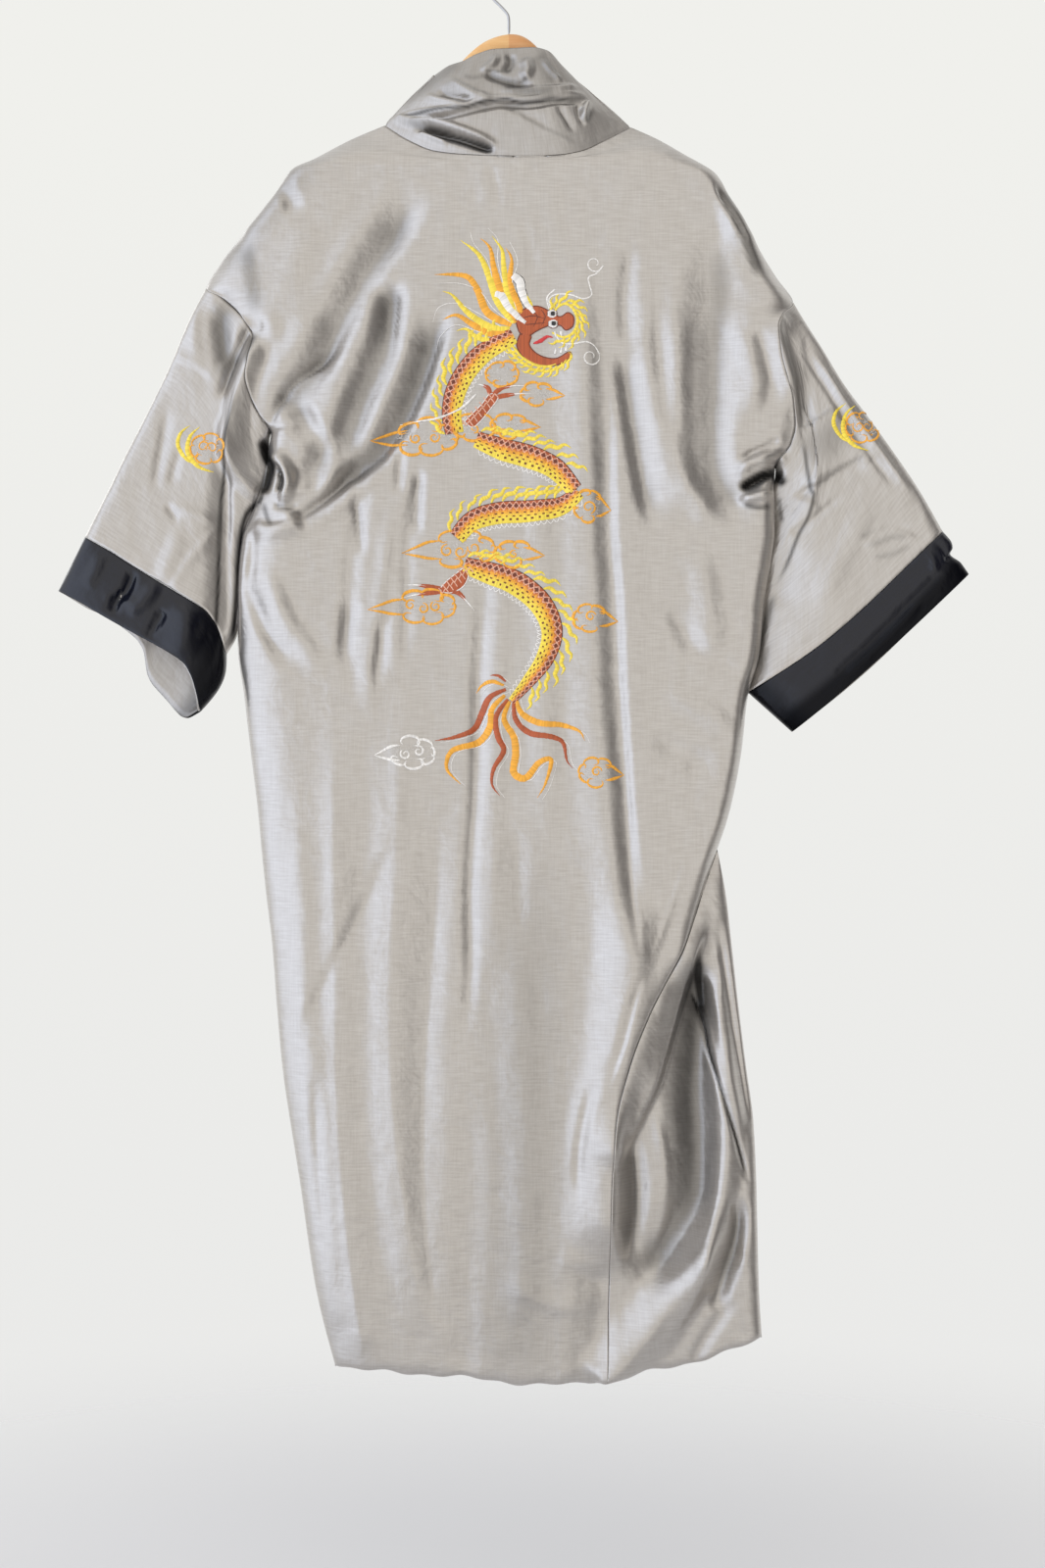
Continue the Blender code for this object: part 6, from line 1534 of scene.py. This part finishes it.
def makeEmbroidery(skins, material):
    threads = Threads(5)
    for middle, size, lobes, tone, tail, curls in clouds:
        threads.cloud(middle, size, lobes, tone, tail=tail, curls=curls)
    for bend in bends:
        path, side, wide, t = threads.body(bend["path"], bend["widths"])
        fringe(threads, path, side, wide, t, 11.5, 14.5, "yellow")
        scallops(threads, path, side, wide, t, 6.0, "white")
    for tone, width, path in mane:
        threads.stroke(path, width, tone, (0.6, 0.0), 0.25)
    for path in hairs:
        threads.stroke(path, 0.8, "white", (1.0, 0.4), 0.5, 0.2)
    for tone, width, path in plumes:
        threads.stroke(path, width, tone, (0.5, 0.0), 0.35)
        shifted = [(x + 5, y + 2) for x, y in path]
        threads.stroke(shifted, 0.7, "white", (0.8, 0.3), 0.5)
    # the two legs that show, each with its thigh and three toes
    leg(threads, ((474, 432), (482, 424), (492, 414), (500, 404), (508, 408), (500, 420), (490, 432),
                  (482, 438)),
        (((502, 406), (512, 398), (524, 396)), ((504, 408), (514, 406), (528, 404)),
         ((500, 404), (498, 398), (492, 395))))
    leg(threads, ((474, 580), (466, 586), (456, 594), (450, 602), (456, 606), (466, 604), (474, 598),
                  (478, 588)),
        (((452, 602), (440, 600), (426, 598)), ((454, 604), (440, 606), (424, 608)),
         ((458, 604), (468, 606), (476, 614))))
    dragonHead(threads)
    threads.onto("embroideryBack", skins["back"], material)
    # two crescents and a cloud on each sleeve
    for side, (cx, cy), seed in (("left", (212, 458), 17), ("right", (880, 436), 23)):
        threads = Threads(seed)
        threads.cloud((cx, cy), (15, 11), 6, "gold", width=2.2, curls=2)
        for dx, dy, grow in ((-14, 8, 1.0), (-24, 2, 0.85)):
            points = [(cx + dx + 20 * grow, cy + dy + 16 * grow), (cx + dx + 4, cy + dy + 10),
                      (cx + dx - 6, cy + dy - 4), (cx + dx - 4, cy + dy - 20 * grow),
                      (cx + dx + 6, cy + dy - 30 * grow)]
            threads.stroke(points, 5.0 * grow, "yellow", (0.1, 0.0), 0.5)
        threads.onto("embroiderySleeve_" + side, skins[side], material)


# The room is painted round the robe: light falls from a soft window at the left, least from the right. The
# tones dark to bright run from the side away from the window to the side of it, at the places in stops. The
# floor is pale, matt and fades into the wall at its edge, so it only gives a soft light from below.
room = {
    "wall": "#F0F0EC", "wallLow": "#E9E9E8", "window": (-0.9, -0.1, -0.18), "stops": (0.09, 0.40, 0.60, 0.84),
    "dark": (0.07, 0.06, 0.06), "side": (1.12, 1.09, 1.03), "middle": (1.0, 0.975, 0.925),
    "bright": (1.46, 1.56, 1.76), "wallLight": (0.92, 0.92, 0.9),
    "lamp": (-2.0, 2.6, 0.3), "lampSize": 1.8, "lampPower": 10.0, "lampTint": (0.95, 0.97, 1.0),
    "lampAim": (0.0, 0.0, -0.8),
    "floor": "#DCDCDF", "floorDrop": 1750.0, "floorRadius": 1.7, "fadeFrom": 0.35, "fadeTo": 1.6,
}


def makeWorld():
    world = bpy.data.worlds.new("room")
    scene.world = world
    world.use_nodes = True
    tree = world.node_tree
    way = addNode(tree, "ShaderNodeTexCoord").outputs["Generated"]
    parts = addNode(tree, "ShaderNodeSeparateXYZ", {"Vector": way})
    towards = addNode(tree, "ShaderNodeVectorMath", {0: way, 1: room["window"]}, operation="DOT_PRODUCT")
    share = addNode(tree, "ShaderNodeMapRange", {
        "Value": towards.outputs["Value"], "From Min": -1.0, "From Max": 1.0})
    light = addNode(tree, "ShaderNodeValToRGB", {"Fac": share.outputs["Result"]})
    stops = light.color_ramp.elements
    for _ in range(2):
        stops.new(0.5)
    for stop, position, tone in zip(stops, room["stops"], ("dark", "side", "middle", "bright")):
        stop.position, stop.color = position, (*room[tone], 1.0)
    # painted shade: the wall seen behind the robe is a little darker low down
    height = addNode(tree, "ShaderNodeMapRange", {
        "Value": parts.outputs["Z"], "From Min": -0.3, "From Max": 0.25})
    wall = addNode(tree, "ShaderNodeMix", {
        0: height.outputs["Result"], 6: colour(room["wallLow"]), 7: colour(room["wall"])}, data_type="RGBA")
    seen = addNode(tree, "ShaderNodeLightPath").outputs["Is Camera Ray"]
    behind = addNode(tree, "ShaderNodeMapRange", {
        "Value": parts.outputs["Y"], "From Min": -0.3, "From Max": 0.4})
    lit = addNode(tree, "ShaderNodeMix", {
        0: behind.outputs["Result"], 6: light.outputs["Color"], 7: (*room["wallLight"], 1.0)},
        data_type="RGBA")
    shown = addNode(tree, "ShaderNodeMix", {0: seen, 6: lit.outputs[2], 7: wall.outputs[2]}, data_type="RGBA")
    feed(tree, tree.nodes["Background"], {"Color": shown.outputs[2]})


def makeLamp():  # lights the wall's side of the robe, which the picture doesn't show
    lamp = bpy.data.lights.new("behind", "AREA")
    lamp.size, lamp.energy, lamp.color = room["lampSize"], room["lampPower"], room["lampTint"]
    holder = bpy.data.objects.new("behind", lamp)
    scene.collection.objects.link(holder)
    holder.location = room["lamp"]
    towards = Vector(room["lampAim"]) - Vector(room["lamp"])
    holder.rotation_euler = towards.to_track_quat("-Z", "Y").to_euler()


def makeFloor():
    bpy.ops.object.select_all(action="DESELECT")
    bpy.ops.mesh.primitive_circle_add(vertices=96, radius=room["floorRadius"], fill_type="TRIFAN",
                                      location=(0.0, 0.0, -room["floorDrop"] * mm))
    bpy.ops.object.transform_apply(location=True, rotation=False, scale=False)
    floor = bpy.context.active_object
    floor.name = "floor"
    material, tree, shader = newFinish("paleFloor")
    place = addNode(tree, "ShaderNodeTexCoord").outputs["Object"]
    flatPlace = addNode(tree, "ShaderNodeMapping", {"Vector": place, "Scale": (1.0, 1.0, 0.0)})
    away = addNode(tree, "ShaderNodeVectorMath", {0: flatPlace.outputs[0]}, operation="LENGTH")
    fade = addNode(tree, "ShaderNodeMapRange", {
        "Value": away.outputs["Value"], "From Min": room["fadeFrom"], "From Max": room["fadeTo"],
        "To Min": 1.0, "To Max": 0.0}, interpolation_type="SMOOTHSTEP")
    feed(tree, shader, {
        "Base Color": colour(room["floor"]), "Roughness": 0.8, "Alpha": fade.outputs["Result"]})
    floor.data.materials.append(material)


def main():
    makeCamera()
    makeWorld()
    makeLamp()
    makeFloor()
    scene.view_settings.view_transform = "Standard"
    print("room and camera placed")
    grey, black = clothFinish("greySatin", greySatin), clothFinish("blackSatin", blackSatin)
    makeHanger(beechFinish(), wireFinish())
    print("hanger made")
    skins = {"back": makeBack(grey)}  # the cloth that each area of embroidery lies on
    print("back made")
    for side in ("left", "right"):
        makeFront(side, grey)
        skins[side] = makeSleeve(side, grey)
        makeCuff(side, black)
        makeLining(side, grey)
    print("fronts, sleeves and cuffs made")
    makeCollar(grey)
    print("collar made")
    makeEmbroidery(skins, threadFinish())
    print("embroidery laid on")


main()
